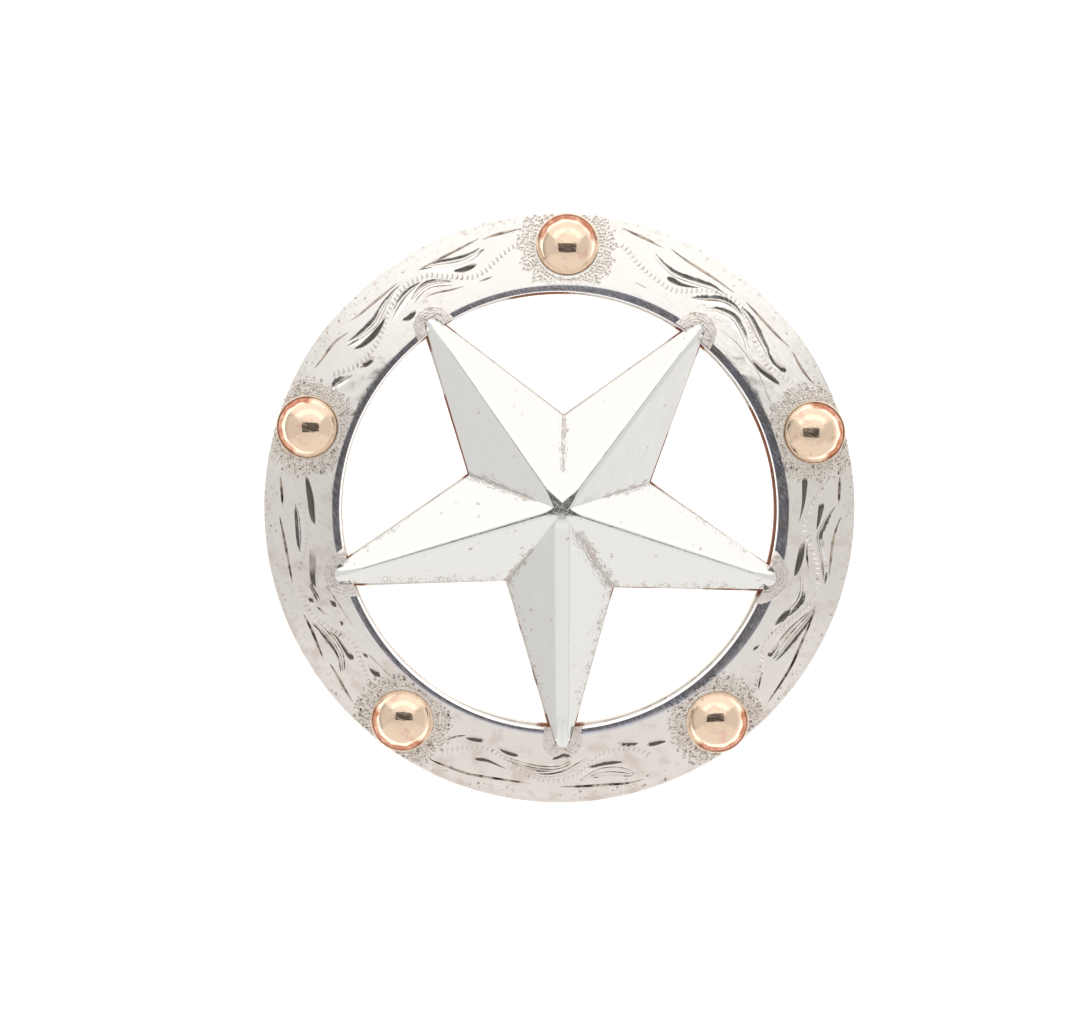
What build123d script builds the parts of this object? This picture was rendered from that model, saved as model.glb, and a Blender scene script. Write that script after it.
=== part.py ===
from build123d import *
from collections import namedtuple
from math import atan2, cos, degrees, hypot, radians, sin, sqrt, tan
import os

# Screw-back concho: a five-pointed star in an engraved round rim, with five round domes.
# Millimetres. The back lies on the plane z = 0, the face looks up +Z, and one arm of the star
# points along -Y. The origin is the middle of the back.

# Back plate: one bronze sheet, pierced by the five gaps, that carries the rim and the star.
outer_diameter = 44.45
plate_thickness = 0.9
plate_hem = 0.06
plate_lip = 0.10
plate_star_margin = 0.14
plate_corner_round = 0.55

# Rim: a silver ring with a narrow level ledge round its opening, from which its face falls outwards.
rim_width = 5.90
rim_crest_height = 2.05
rim_edge_height = 0.62
rim_face_bulge = 0.07
rim_edge_round = 0.25
ledge_width = 0.58
ledge_round = 0.12
wall_draft = 0.10

# Star: ten flat facets that meet in ridges and valleys. Its peak is worn flat by a little, and its
# middle stands a little off the rim's.
star_peak_height = 5.6
star_peak_wear = 0.06
star_notch_radius = 6.94
star_notch_height = 1.62
star_notch_round = 0.20
tip_overlap = 1.0
tip_stand = 0.04
tip_round = 0.67
star_shift_x = 0.18
star_shift_y = 0.05

# Solder collar: a low mound on the rim round each tip of the star.
collar_width = 0.95
collar_rise = 0.12
collar_root = 0.30
collar_draft = 42.0
collar_lean = 12.0

# Domes: round caps with a thin lip, each in a flat-bottomed seat in the rim's face.
dome_inner_margin = 0.46
dome_outer_margin = 0.10
dome_crown = 1.15
dome_skirt = 0.70
dome_lip_width = 0.13
dome_lean = 8.0
dome_seat_sink = 0.08

# Screw socket: a plain threaded barrel, flush with the back, that stands in the star's middle.
socket_diameter = 5.2
socket_height = 3.3
thread_radius = 1.73
thread_depth = 2.6
thread_lead_in = 0.25

# Clearance kept between one piece and the next, the overshoot of cutting bodies, and how far the
# planes of the star's facets are carried on past its outline, as a share of their length.
seat_gap = 0.02
cut_over = 1.0
carry_on = 1.2

# Arms go round from the upper right. Overlap and blunt are shares of tip_overlap and tip_round.
# The notch that follows each arm, counted the same way round, lies at a share of
# star_notch_radius.
Arm = namedtuple("Arm", "tip_angle overlap blunt notch_angle notch_share")
ARMS = [
    Arm(tip_angle=52.8, overlap=0.80, blunt=0.88, notch_angle=88.8, notch_share=0.986),
    Arm(tip_angle=125.1, overlap=0.87, blunt=0.83, notch_angle=160.3, notch_share=1.054),
    Arm(tip_angle=196.8, overlap=1.29, blunt=1.14, notch_angle=232.8, notch_share=0.979),
    Arm(tip_angle=270.2, overlap=1.59, blunt=0.84, notch_angle=303.0, notch_share=1.007),
    Arm(tip_angle=341.4, overlap=0.55, blunt=1.30, notch_angle=376.2, notch_share=0.975),
]

# Domes go round from the top. Reach is a share of the radius that all of them keep to.
Dome = namedtuple("Dome", "angle reach")
DOMES = [
    Dome(angle=88.3, reach=0.995),
    Dome(angle=16.7, reach=1.002),
    Dome(angle=-53.5, reach=1.002),
    Dome(angle=-126.6, reach=0.996),
    Dome(angle=162.0, reach=0.998),
]

outer_radius = outer_diameter / 2
seat_level = plate_thickness + seat_gap

rim_outer_radius = outer_radius - plate_hem
opening_radius = outer_radius - rim_width
crest_radius = opening_radius + ledge_width
crest_level = plate_thickness + rim_crest_height
edge_level = plate_thickness + rim_edge_height

star_middle = Vector(star_shift_x, star_shift_y)
peak_level = plate_thickness + star_peak_height
tip_level = crest_level + tip_stand
notch_level = plate_thickness + star_notch_height

dome_span = rim_outer_radius - dome_outer_margin - crest_radius - dome_inner_margin
dome_radius = dome_span / 2
dome_ring_radius = crest_radius + dome_inner_margin + dome_radius


def polar(radius, angle):
    """A point on the ground at a radius and an angle in degrees."""
    return Vector(radius * cos(radians(angle)), radius * sin(radians(angle)))


def on_rim(radius, angle, level, lean):
    """Place at a radius, angle and level, with its own Z leaning outwards by so many degrees."""
    return Rot(0, 0, angle) * Pos(radius, 0, level) * Rot(0, lean, 0)


def upright(radius, from_level, to_level):
    """Round bar about the Z axis between two levels."""
    return Pos(0, 0, (from_level + to_level) / 2) * Cylinder(radius, to_level - from_level)


def face_level(radius):
    """Height of the rim's face at a distance from the middle: an arc that bulges off its chord."""
    run = rim_outer_radius - crest_radius
    drop = crest_level - edge_level
    chord = hypot(run, drop)
    arc_radius = chord**2 / (8 * rim_face_bulge) + rim_face_bulge / 2
    below = arc_radius - rim_face_bulge
    centre_r = (crest_radius + rim_outer_radius) / 2 - below * drop / chord
    centre_z = (crest_level + edge_level) / 2 - below * run / chord
    return centre_z + sqrt(arc_radius**2 - (radius - centre_r) ** 2)


def tip_end(arm):
    """How far the rounded end of an arm lies from the star's middle."""
    return opening_radius + tip_overlap * arm.overlap


def tip_corner(arm):
    """Sharp corner of an arm, seen from above. Its distance and the arm's taper settle together."""
    arm_angle = radians(180 / len(ARMS))
    half_width = star_notch_radius * sin(arm_angle)
    foot = star_notch_radius * cos(arm_angle)
    reach = tip_end(arm)
    for _ in range(20):
        half_angle = atan2(half_width, reach - foot)
        reach = tip_end(arm) + tip_round * arm.blunt * (1 / sin(half_angle) - 1)
    return star_middle + polar(reach, arm.tip_angle)


def tip_middle(arm):
    """Middle of the rounding at the end of an arm, seen from above."""
    return star_middle + polar(tip_end(arm) - tip_round * arm.blunt, arm.tip_angle)


def notch_corner(arm):
    """Sharp corner of the notch that follows an arm, seen from above."""
    return star_middle + polar(star_notch_radius * arm.notch_share, arm.notch_angle)


def star_corners():
    """Corners of the star, a tip and a notch in turn."""
    return [corner(arm) for arm in ARMS for corner in (tip_corner, notch_corner)]


def star_outline(grow):
    """The star seen from above, with rounded tips and notches, grown all round by a margin."""
    outline = make_face(Polyline(*star_corners(), close=True))
    corners = outline.vertices().sort_by(lambda vertex: Vector(*vertex).length)
    outline = fillet(corners[: len(ARMS)], star_notch_round)
    for arm in ARMS:
        tip = outline.vertices().sort_by_distance(tip_corner(arm))[0]
        outline = fillet(tip, tip_round * arm.blunt)
    return offset(outline, amount=grow) if grow else outline


def star_prism(grow, from_level, to_level):
    """Straight-sided star between two levels."""
    return Pos(0, 0, from_level) * extrude(star_outline(grow), to_level - from_level)


def star_roof():
    """Solid under the ten facets. They are carried on past the outline along the same planes."""
    levels = [tip_level, notch_level] * len(ARMS)
    peak = star_middle + Vector(0, 0, peak_level + star_peak_wear)
    eaves = []
    for corner, level in zip(star_corners(), levels):
        eaves.append(peak + (corner + Vector(0, 0, level) - peak) * carry_on)
    feet = [Vector(point.X, point.Y, -cut_over) for point in eaves]
    faces = [Face(Wire.make_polygon(feet))]
    for here, point in enumerate(eaves):
        after = (here + 1) % len(eaves)
        faces.append(Face(Wire.make_polygon([peak, point, eaves[after]])))
        faces.append(Face(Wire.make_polygon([point, eaves[after], feet[after], feet[here]])))
    return Solid(Shell(faces))


def rim_section():
    """Half section of the rim, radius along X and height along Y."""
    wall_top = (opening_radius, crest_level)
    wall_foot = (opening_radius - wall_draft, seat_level)
    crest = (crest_radius, crest_level)
    middle_radius = (crest_radius + rim_outer_radius) / 2
    middle = (middle_radius, face_level(middle_radius))
    edge = (rim_outer_radius, edge_level)
    edge_foot = (rim_outer_radius, seat_level)
    face_line = ThreePointArc(crest, middle, edge)
    other_lines = Polyline(edge, edge_foot, wall_foot, wall_top, crest)
    section = make_face([face_line, other_lines])
    section = fillet(section.vertices().sort_by_distance((*wall_top, 0))[0], ledge_round)
    return fillet(section.vertices().sort_by_distance((*edge, 0))[0], rim_edge_round)


def solder_collar(arm):
    """Low mound round an arm's tip. It covers the ledge and follows the slope of the face."""
    middle = tip_middle(arm)
    collar_radius = tip_round * arm.blunt + collar_width
    height = collar_rise + collar_root
    foot_radius = collar_radius + height / tan(radians(collar_draft))
    cone = Cone(foot_radius, collar_radius, height)
    drop = height / 2 - collar_rise
    azimuth = degrees(atan2(middle.Y, middle.X))
    place = on_rim(crest_radius, azimuth, crest_level, collar_lean)
    mound = place * Pos(middle.length - crest_radius, 0, -drop) * cone
    return mound - upright(opening_radius, 0, crest_level + cut_over)


def dome_place(dome):
    """Where the middle of a dome's flat base goes, with its lean."""
    radius = dome_ring_radius * dome.reach
    lean = radians(dome_lean)
    outer_end = radius + dome_radius * cos(lean)
    level = face_level(outer_end) - dome_seat_sink + dome_radius * sin(lean)
    return on_rim(radius, dome.angle, level, dome_lean)


def dome_seat(dome):
    """Round pocket in the rim's face for one dome."""
    pocket = Cylinder(dome_radius + seat_gap, crest_level)
    return dome_place(dome) * Pos(0, 0, crest_level / 2) * pocket


def make_back_plate():
    """Pierced sheet with soft inner corners."""
    plate = upright(outer_radius, 0, plate_thickness)
    star = offset(make_face(Polyline(*star_corners(), close=True)), amount=plate_star_margin)
    window = Circle(opening_radius - wall_draft - plate_lip) - star
    for gap in window.faces():
        soft_gap = fillet(gap.vertices(), plate_corner_round)
        plate -= extrude(soft_gap, plate_thickness + cut_over, both=True)
    return plate - upright(socket_diameter / 2 + seat_gap, -cut_over, plate_thickness + cut_over)


def make_rim():
    """Ring with its ledge, solder collars, and seats for the star's tips and the domes."""
    rim = revolve(Plane.XZ * rim_section(), Axis.Z)
    for arm in ARMS:
        rim += solder_collar(arm)
    rim -= star_prism(seat_gap, 0, peak_level)
    for dome in DOMES:
        rim -= dome_seat(dome)
    return rim


def make_star():
    """Star with ten facets and a blind hole below for the screw socket."""
    star = star_prism(0, seat_level, peak_level) & star_roof()
    return star - upright(socket_diameter / 2 + seat_gap, -cut_over, socket_height + seat_gap)


def make_dome(dome):
    """Cap on a short skirt, with a thin lip round the cap's foot."""
    cap_radius = dome_radius - dome_lip_width
    top = (0, dome_skirt + dome_crown)
    sphere_radius = (cap_radius**2 + dome_crown**2) / (2 * dome_crown)
    half = cap_radius / 2
    on_cap = (half, top[1] - sphere_radius + sqrt(sphere_radius**2 - half**2))
    cap = ThreePointArc(top, on_cap, (cap_radius, dome_skirt))
    corners = [(cap_radius, dome_skirt), (dome_radius, dome_skirt), (dome_radius, 0), (0, 0), top]
    section = make_face([cap, Polyline(*corners)])
    body = Pos(0, 0, seat_gap) * revolve(Plane.XZ * section, Axis.Z)
    return dome_place(dome) * body


def make_screw_socket():
    """Barrel with a blind threaded hole that opens downwards."""
    barrel = upright(socket_diameter / 2, 0, socket_height)
    barrel -= upright(thread_radius, -cut_over, thread_depth)
    mouth = barrel.edges().filter_by(GeomType.CIRCLE).group_by(Axis.Z)[0].sort_by(SortBy.RADIUS)[0]
    return chamfer(mouth, thread_lead_in)


def make_pieces():
    """Every piece by the name of its node."""
    pieces = {
        "back_plate": make_back_plate(),
        "rim": make_rim(),
        "star": make_star(),
        "screw_socket": make_screw_socket(),
    }
    for number, dome in enumerate(DOMES, start=1):
        pieces[f"dome_{number}"] = make_dome(dome)
    return pieces


def main():
    """Write one file for each piece."""
    os.makedirs("parts", exist_ok=True)
    for name, piece in make_pieces().items():
        export_step(piece, f"parts/{name}.step")


if __name__ == "__main__":
    main()
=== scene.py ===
"""Looks for the star concho.

An engraved silver rim with a sanded ledge, a faceted silver star soldered over its opening, and five
rose gold domes, on a bronze back plate with a brass screw socket. Shapes are made in millimetres
and brought to the frame's metres when they are finished.
"""

import logging
import math
import random
from contextlib import contextmanager
from dataclasses import dataclass
from enum import Enum
from functools import cache, partial, reduce
from typing import Callable, Iterator, Sequence

import bmesh
import bpy
from bpy.types import ID, Material, Node, NodeSocket, NodeTree, Object
from mathutils import Matrix, Vector

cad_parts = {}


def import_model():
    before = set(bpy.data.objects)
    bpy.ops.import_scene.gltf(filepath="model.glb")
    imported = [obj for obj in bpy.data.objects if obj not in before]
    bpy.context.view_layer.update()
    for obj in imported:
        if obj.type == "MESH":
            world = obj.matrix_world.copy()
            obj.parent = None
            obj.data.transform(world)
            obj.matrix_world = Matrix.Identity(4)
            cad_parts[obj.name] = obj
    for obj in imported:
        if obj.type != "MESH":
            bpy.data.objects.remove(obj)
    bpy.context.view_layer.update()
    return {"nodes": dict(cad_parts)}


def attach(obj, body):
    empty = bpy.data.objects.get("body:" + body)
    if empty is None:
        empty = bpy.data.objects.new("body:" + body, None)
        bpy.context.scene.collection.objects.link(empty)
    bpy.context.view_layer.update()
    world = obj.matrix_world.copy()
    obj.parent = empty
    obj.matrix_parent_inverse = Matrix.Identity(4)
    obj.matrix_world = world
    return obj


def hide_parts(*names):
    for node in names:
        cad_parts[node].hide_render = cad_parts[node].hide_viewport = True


log = logging.getLogger("concho")

MM = 0.001
DEGREE = math.pi / 180

Point2 = tuple[float, float]
Colour = tuple[float, float, float]
Value = NodeSocket | float


class Part(Enum):
    """What an edit acts on, with the name of its list in a mesh."""

    VERT = "verts"
    EDGE = "edges"


class Joining(Enum):
    """How a tool and a body are combined."""

    CUT = "DIFFERENCE"
    FUSE = "UNION"
    KEEP_COMMON = "INTERSECT"


class Cut(Enum):
    """Kinds of engraver's cut."""

    BORDER = "border"
    TROUGH = "trough"
    ARC = "arc"
    LEAF = "leaf"
    BRIGHT = "bright"
    MARGIN = "margin"
    ROPE = "rope"


class Blunt(Enum):
    """End of a stroke where the graver was stopped dead."""

    NONE = 0
    START = 1
    END = 2


class Output(Enum):
    """What a shader group gives out."""

    MASK = "Mask"
    HEIGHT = "Height"


@dataclass(frozen=True)
class Stroke:
    """One cut of the engraving, in the sector that runs clockwise from a dome.

    Its points are degrees clockwise from that dome and millimetres in from the rim's edge.
    """

    sector: int
    cut: Cut
    points: Sequence[Point2]
    blunt: Blunt = Blunt.NONE
    lines: int = 1


# Dome at which each sector starts, in degrees, going round clockwise from the top.
SECTOR_ANGLES = (90.0, 18.0, -54.0, -126.0, -198.0)

STROKES = (
    Stroke(0, Cut.BORDER, ((12.6, 0.7), (15.2, 0.87), (18.4, 1.03), (21.6, 1.24))),
    Stroke(0, Cut.BORDER, ((23.2, 1.08), (26.4, 1.3), (30.4, 1.41), (34.8, 1.43), (39.2, 1.43))),
    Stroke(0, Cut.BORDER, ((42, 1.38), (46, 1.43), (51.2, 1.38), (55.2, 1.16))),
    Stroke(0, Cut.BORDER, ((56, 1.19), (60, 1.24), (63.6, 1.07))),
    Stroke(0, Cut.TROUGH, (
        (20.6, 1.81), (23.2, 2.33), (26.4, 2.6), (30.4, 2.42), (34.4, 2.06), (38, 1.88),
    ), lines=2),
    Stroke(0, Cut.BRIGHT, ((25, 3.1), (28, 3.16), (30.8, 2.89), (32.4, 2.62)), blunt=Blunt.START),
    Stroke(0, Cut.LEAF, ((31.8, 3.64), (34.4, 3.23), (37.6, 2.56), (40.4, 2.31), (43.6, 2.38))),
    Stroke(0, Cut.ARC, (
        (36.4, 3.5), (38.8, 3.1), (42, 2.83), (44.8, 3), (47.6, 3.33), (50, 3.7),
    ), lines=2),
    Stroke(0, Cut.TROUGH, (
        (42, 1.81), (45.2, 2.01), (49.2, 2.42), (52, 2.62), (54.4, 2.76),
    ), lines=2),
    Stroke(0, Cut.BRIGHT, ((52, 2.65), (55.2, 2.79), (57.6, 2.56), (58.8, 2.49)), blunt=Blunt.END),
    Stroke(0, Cut.BRIGHT, ((52, 4), (54.8, 3.91), (57.6, 3.64), (60.6, 3.33))),
    Stroke(0, Cut.MARGIN, ((18.2, 4.35), (20, 4.42), (21.8, 4.49))),
    Stroke(0, Cut.MARGIN, ((42, 4.18), (48, 4.08), (56, 4.25), (63.6, 4.58))),
    Stroke(0, Cut.ROPE, (
        (12, 1.81), (14.8, 2.29), (17.6, 2.96), (20.8, 3.43), (24, 3.7), (26.4, 3.84), (29.2, 3.57),
        (31.6, 3.03), (34.4, 2.35), (37.6, 2.01), (40.4, 1.88), (43.2, 2.08), (46.4, 2.56),
        (49.2, 2.96), (52, 3.23), (54.8, 3.33), (57.6, 3.1), (60, 2.69), (62, 2.35),
    )),
    Stroke(1, Cut.BORDER, ((11.4, 1.07), (14, 1.16), (17.6, 1.27))),
    Stroke(1, Cut.BORDER, ((19.8, 1.11), (21.6, 1.34), (24.8, 1.54), (28, 1.51), (32, 1.38))),
    Stroke(1, Cut.BORDER, (
        (39.8, 1.58), (44, 1.51), (48, 1.38), (52, 1.16), (56, 1.03), (60.8, 0.84),
    )),
    Stroke(1, Cut.MARGIN, ((11, 1.74), (13.2, 2.35), (16, 3.03))),
    Stroke(1, Cut.BRIGHT, (
        (16.6, 2.56), (19.2, 2.72), (21.6, 2.83), (24, 2.92),
    ), blunt=Blunt.START),
    Stroke(1, Cut.BRIGHT, (
        (10.4, 3.7), (12.8, 3.81), (16.8, 3.98), (20.8, 4.25),
    ), blunt=Blunt.START),
    Stroke(1, Cut.BRIGHT, ((24.2, 3.84), (27.2, 3.84), (30.4, 3.84), (34.4, 3.88))),
    Stroke(1, Cut.TROUGH, (
        (17.6, 1.61), (19.6, 2.15), (21.6, 2.49), (24, 2.79), (26.4, 2.56), (29.2, 2.22),
        (33.6, 1.68),
    )),
    Stroke(1, Cut.TROUGH, ((26.4, 2.42), (30, 2.01), (33.8, 1.57))),
    Stroke(1, Cut.ARC, ((25.8, 3.5), (28.8, 3.33), (31.6, 3.03))),
    Stroke(1, Cut.ARC, ((33.8, 3.3), (36, 3), (38.4, 2.89), (40.8, 3.1), (44, 3.37)), lines=2),
    Stroke(1, Cut.BRIGHT, ((40, 3.41), (43.2, 3.54), (47.2, 3.91))),
    Stroke(1, Cut.TROUGH, (
        (38.8, 1.72), (41.2, 2.08), (44, 2.56), (47.2, 2.87), (50, 3), (53.2, 2.96),
    )),
    Stroke(1, Cut.TROUGH, ((39.2, 1.68), (42.4, 2.08), (46, 2.46), (49.6, 2.65), (53.2, 2.66))),
    Stroke(1, Cut.TROUGH, ((40, 1.64), (43.2, 1.95), (46.4, 2.22), (50, 2.38), (53.2, 2.41))),
    Stroke(1, Cut.BRIGHT, ((49.2, 3.07), (51.2, 3.07), (53.2, 3)), blunt=Blunt.END),
    Stroke(1, Cut.ARC, ((56.8, 2.69), (58.8, 2.35), (60.4, 2.01))),
    Stroke(1, Cut.BRIGHT, ((52, 4.14), (53.2, 4.21), (54.4, 4.22))),
    Stroke(1, Cut.ROPE, (
        (12, 2.08), (14, 2.62), (16.8, 3.3), (20, 3.77), (22.4, 3.84), (24.8, 3.5), (27.6, 2.96),
        (30.4, 2.42), (33.6, 2.08), (36.8, 2.01), (39.6, 2.22), (42.4, 2.62), (45.2, 3.16),
        (48, 3.64), (50.8, 3.77), (53.6, 3.5), (56, 2.96), (58.8, 2.49), (61.6, 2.22),
    )),
    Stroke(2, Cut.BORDER, ((18.4, 0.87), (22.4, 0.93), (27.2, 1.16), (31.2, 1.24), (36, 1.3))),
    Stroke(2, Cut.BORDER, (
        (42, 1.43), (48, 1.38), (52.8, 1.2), (56, 1.07), (62.8, 1), (63.4, 1.3),
    )),
    Stroke(2, Cut.TROUGH, (
        (19.6, 1.47), (21.6, 2.01), (24, 2.35), (27.2, 2.42), (30, 2.08), (32, 1.74),
    )),
    Stroke(2, Cut.TROUGH, ((20.4, 1.43), (23.2, 1.88), (26.4, 2.11), (29.2, 1.88))),
    Stroke(2, Cut.BRIGHT, ((22, 2.65), (24, 2.81), (26.4, 2.85), (29.6, 2.69))),
    Stroke(2, Cut.BRIGHT, ((11.4, 3.03), (12.8, 3.23), (16, 3.33))),
    Stroke(2, Cut.BRIGHT, ((17.4, 3.7), (19.2, 3.84), (22.2, 4.14))),
    Stroke(2, Cut.BRIGHT, ((47.6, 2.29), (50, 2.49), (52, 2.6), (54.6, 2.49)), blunt=Blunt.END),
    Stroke(2, Cut.BRIGHT, ((45.4, 3.41), (47.6, 3.57), (50.8, 3.84))),
    Stroke(2, Cut.BRIGHT, ((53.6, 3.98), (56, 3.87), (58.4, 3.7))),
    Stroke(2, Cut.LEAF, (
        (29.6, 3.43), (32, 3.03), (34.4, 2.56), (37.2, 2.29), (39.6, 2.22), (42, 2.29),
    )),
    Stroke(2, Cut.ARC, (
        (33.4, 3.1), (36, 2.69), (39.2, 2.6), (42.8, 2.69), (46.4, 2.87), (48.8, 3.03),
    ), lines=2),
    Stroke(2, Cut.BRIGHT, ((33.4, 3.62), (35.2, 3.84), (36.4, 3.65), (37.6, 3.41))),
    Stroke(2, Cut.ARC, ((58.4, 3.84), (60.4, 3.43), (62, 2.89))),
    Stroke(2, Cut.ROPE, (
        (15.2, 2.22), (17.6, 3.03), (20, 3.5), (23.2, 3.64), (26.4, 3.43), (29.2, 2.83), (32, 2.15),
        (35.2, 1.81), (38.4, 1.74), (41.6, 1.95), (44, 2.29), (46.4, 2.76), (49.2, 3.16),
        (52, 3.37), (55.2, 3.23), (58, 2.76), (60, 2.35), (62, 1.81),
    )),
    Stroke(3, Cut.BORDER, ((10.6, 0.93), (13.6, 1.11), (18.4, 1.38), (20, 1.43))),
    Stroke(3, Cut.BORDER, ((21.6, 1.23), (24, 1.34), (27.2, 1.47), (31.6, 1.47))),
    Stroke(3, Cut.BORDER, ((38.4, 1.43), (44, 1.49), (48, 1.43), (52.4, 1.24))),
    Stroke(3, Cut.BORDER, ((54, 1.47), (57.6, 1.34), (60.8, 1.14))),
    Stroke(3, Cut.TROUGH, (
        (17, 1.68), (20, 2.22), (23.2, 2.31), (26.4, 2.08), (29.2, 1.74),
    ), lines=3),
    Stroke(3, Cut.BRIGHT, (
        (17.9, 3.03), (20.8, 3.03), (24, 2.96), (25.8, 2.69),
    ), blunt=Blunt.START),
    Stroke(3, Cut.BRIGHT, ((10.4, 3.7), (12.8, 3.77), (15.2, 3.84))),
    Stroke(3, Cut.BRIGHT, ((16, 4), (17.2, 4.03), (18.4, 4.04))),
    Stroke(3, Cut.BRIGHT, ((32.6, 2.42), (34, 2.38), (35.4, 2.42))),
    Stroke(3, Cut.BRIGHT, ((36, 3), (38.4, 3.03), (42, 3.33), (46.8, 3.5))),
    Stroke(3, Cut.BRIGHT, ((25.6, 3.73), (26.6, 3.84), (27.8, 3.88))),
    Stroke(3, Cut.BRIGHT, ((29.8, 3.87), (31.4, 3.88), (33, 3.79))),
    Stroke(3, Cut.BRIGHT, ((49.8, 3.84), (53.2, 3.7), (56.4, 3.57), (61.6, 3.1))),
    Stroke(3, Cut.ARC, ((33, 2.83), (35.6, 2.69), (37.6, 2.65))),
    Stroke(3, Cut.ARC, ((33.2, 3.03), (35.6, 2.84), (38, 2.79))),
    Stroke(3, Cut.ARC, ((29.6, 2.96), (30.8, 2.79), (32, 2.62))),
    Stroke(3, Cut.TROUGH, ((44.6, 2.56), (47.6, 2.69), (52, 2.69), (54.8, 2.49))),
    Stroke(3, Cut.MARGIN, ((9.2, 4.38), (13.2, 4.35), (16.8, 4.25))),
    Stroke(3, Cut.MARGIN, ((24, 4.45), (30, 4.25), (36, 3.84))),
    Stroke(3, Cut.ROPE, (
        (9.6, 2.69), (12.8, 3.03), (16, 3.37), (19.2, 3.7), (21.6, 3.7), (24, 3.23), (27.2, 2.62),
        (30.4, 2.08), (33.6, 1.81), (37.2, 1.78), (40, 2.01), (42.4, 2.49), (45.2, 2.89),
        (48.4, 3.16), (52, 3.1), (55.2, 2.83), (58, 2.42), (60.8, 2.08),
    )),
    Stroke(4, Cut.BORDER, ((11.8, 1.07), (14, 1.18), (18.4, 1.24), (22, 1.64))),
    Stroke(4, Cut.BORDER, ((23.8, 1.14), (26, 1.34), (30, 1.43), (36.4, 1.43))),
    Stroke(4, Cut.BORDER, ((41.2, 1.46), (46, 1.47), (51.2, 1.34), (55.6, 1.11))),
    Stroke(4, Cut.BORDER, ((56, 1.3), (58.4, 1.16), (63.8, 1.07))),
    Stroke(4, Cut.TROUGH, (
        (19.6, 2.29), (21.6, 2.56), (24, 2.76), (27.2, 2.83), (30, 2.49), (33.2, 2.01), (36.4, 1.7),
    )),
    Stroke(4, Cut.TROUGH, ((20.4, 2.11), (23.6, 2.49), (27.2, 2.58), (30, 2.27), (33.2, 1.81))),
    Stroke(4, Cut.BRIGHT, ((20, 2.79), (22, 3.07), (24.8, 3.18), (27.2, 3.07), (29.6, 2.87))),
    Stroke(4, Cut.LEAF, ((9.8, 2.96), (12, 3.23), (14.8, 3.77))),
    Stroke(4, Cut.BRIGHT, ((17.2, 4), (19.2, 4.18), (21.6, 4.31))),
    Stroke(4, Cut.LEAF, ((30, 3.41), (32.8, 2.96), (36.4, 2.56), (40.4, 2.35))),
    Stroke(4, Cut.ARC, ((36.4, 3.03), (39.2, 2.69), (42.4, 2.69), (46.8, 3.3)), lines=3),
    Stroke(4, Cut.ARC, ((39.6, 3.46), (42.4, 3.61), (45.6, 3.92), (48.8, 4.1))),
    Stroke(4, Cut.BRIGHT, ((32.2, 3.88), (34, 4.04), (36.2, 3.88))),
    Stroke(4, Cut.TROUGH, (
        (41.6, 1.57), (44.8, 2.01), (47.6, 2.38), (50.8, 2.52), (53.6, 2.38), (55.8, 2),
    ), blunt=Blunt.END),
    Stroke(4, Cut.TROUGH, (
        (42.8, 1.54), (45.6, 1.81), (48.4, 2.11), (51.2, 2.24), (53.6, 2.11), (55.2, 1.84),
    )),
    Stroke(4, Cut.BRIGHT, ((48, 2.76), (50, 2.92), (53.4, 2.92))),
    Stroke(4, Cut.ARC, ((52.4, 4.18), (54.2, 4.16), (56, 4.14))),
    Stroke(4, Cut.ROPE, (
        (11.8, 2.22), (14, 2.89), (16.4, 3.5), (19.6, 3.84), (22.4, 3.84), (25.6, 3.64), (28, 3.23),
        (30.4, 2.76), (33.2, 2.35), (36.4, 2.01), (39.6, 2.01), (42.8, 2.22), (45.2, 2.76),
        (47.6, 3.16), (50.4, 3.64), (53.2, 3.7), (56, 3.37), (58.8, 2.83), (61.6, 2.35),
        (63.6, 2.08),
    )),
)


@dataclass(frozen=True)
class Arm:
    """Arm of the star and the notch that follows it, in degrees and shares of the star's sizes."""

    tip_angle: float
    overlap: float
    blunt: float
    notch_angle: float
    notch_share: float


ARMS = (
    Arm(52.8, 0.80, 0.88, 88.8, 0.986),
    Arm(125.1, 0.87, 0.83, 160.3, 1.054),
    Arm(196.8, 1.29, 1.14, 232.8, 0.979),
    Arm(270.2, 1.59, 0.84, 303.0, 1.007),
    Arm(341.4, 0.55, 1.30, 376.2, 0.975),
)


def take(piece: Object) -> None:
    """Select one piece alone and make it active.

    Args:
        piece: The piece.
    """
    bpy.ops.object.select_all(action="DESELECT")
    piece.select_set(True)
    bpy.context.view_layer.objects.active = piece


@contextmanager
def editing(piece: Object, part: Part = Part.VERT) -> Iterator[None]:
    """Open a piece in edit mode with nothing selected.

    Args:
        piece: The piece to edit.
        part: What the selection is made of.
    """
    take(piece)
    bpy.ops.object.mode_set(mode="EDIT")
    bpy.ops.mesh.select_mode(type=part.name)
    bpy.ops.mesh.select_all(action="DESELECT")
    try:
        yield
    finally:
        bpy.ops.object.mode_set(mode="OBJECT")


def pick(piece: Object, part: Part, test: Callable[..., bool]) -> int:
    """Select by place the parts of a piece that is open in edit mode.

    Args:
        piece: The piece that is open.
        part: What is tested.
        test: Says of one vertex or edge whether it is wanted.

    Returns:
        How many were selected.
    """
    shape = bmesh.from_edit_mesh(piece.data)
    chosen = [item for item in getattr(shape, part.value) if test(item)]
    for item in chosen:
        item.select_set(True)
    shape.select_flush_mode()
    bmesh.update_edit_mesh(piece.data)
    return len(chosen)


def close_up(piece: Object, reach: float = 1e-4) -> None:
    """Merge a piece's doubles and turn its faces outwards.

    Args:
        piece: The piece.
        reach: How near two points are that become one.
    """
    with editing(piece):
        bpy.ops.mesh.select_all(action="SELECT")
        bpy.ops.mesh.remove_doubles(threshold=reach)
        bpy.ops.mesh.normals_make_consistent(inside=False)


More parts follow.
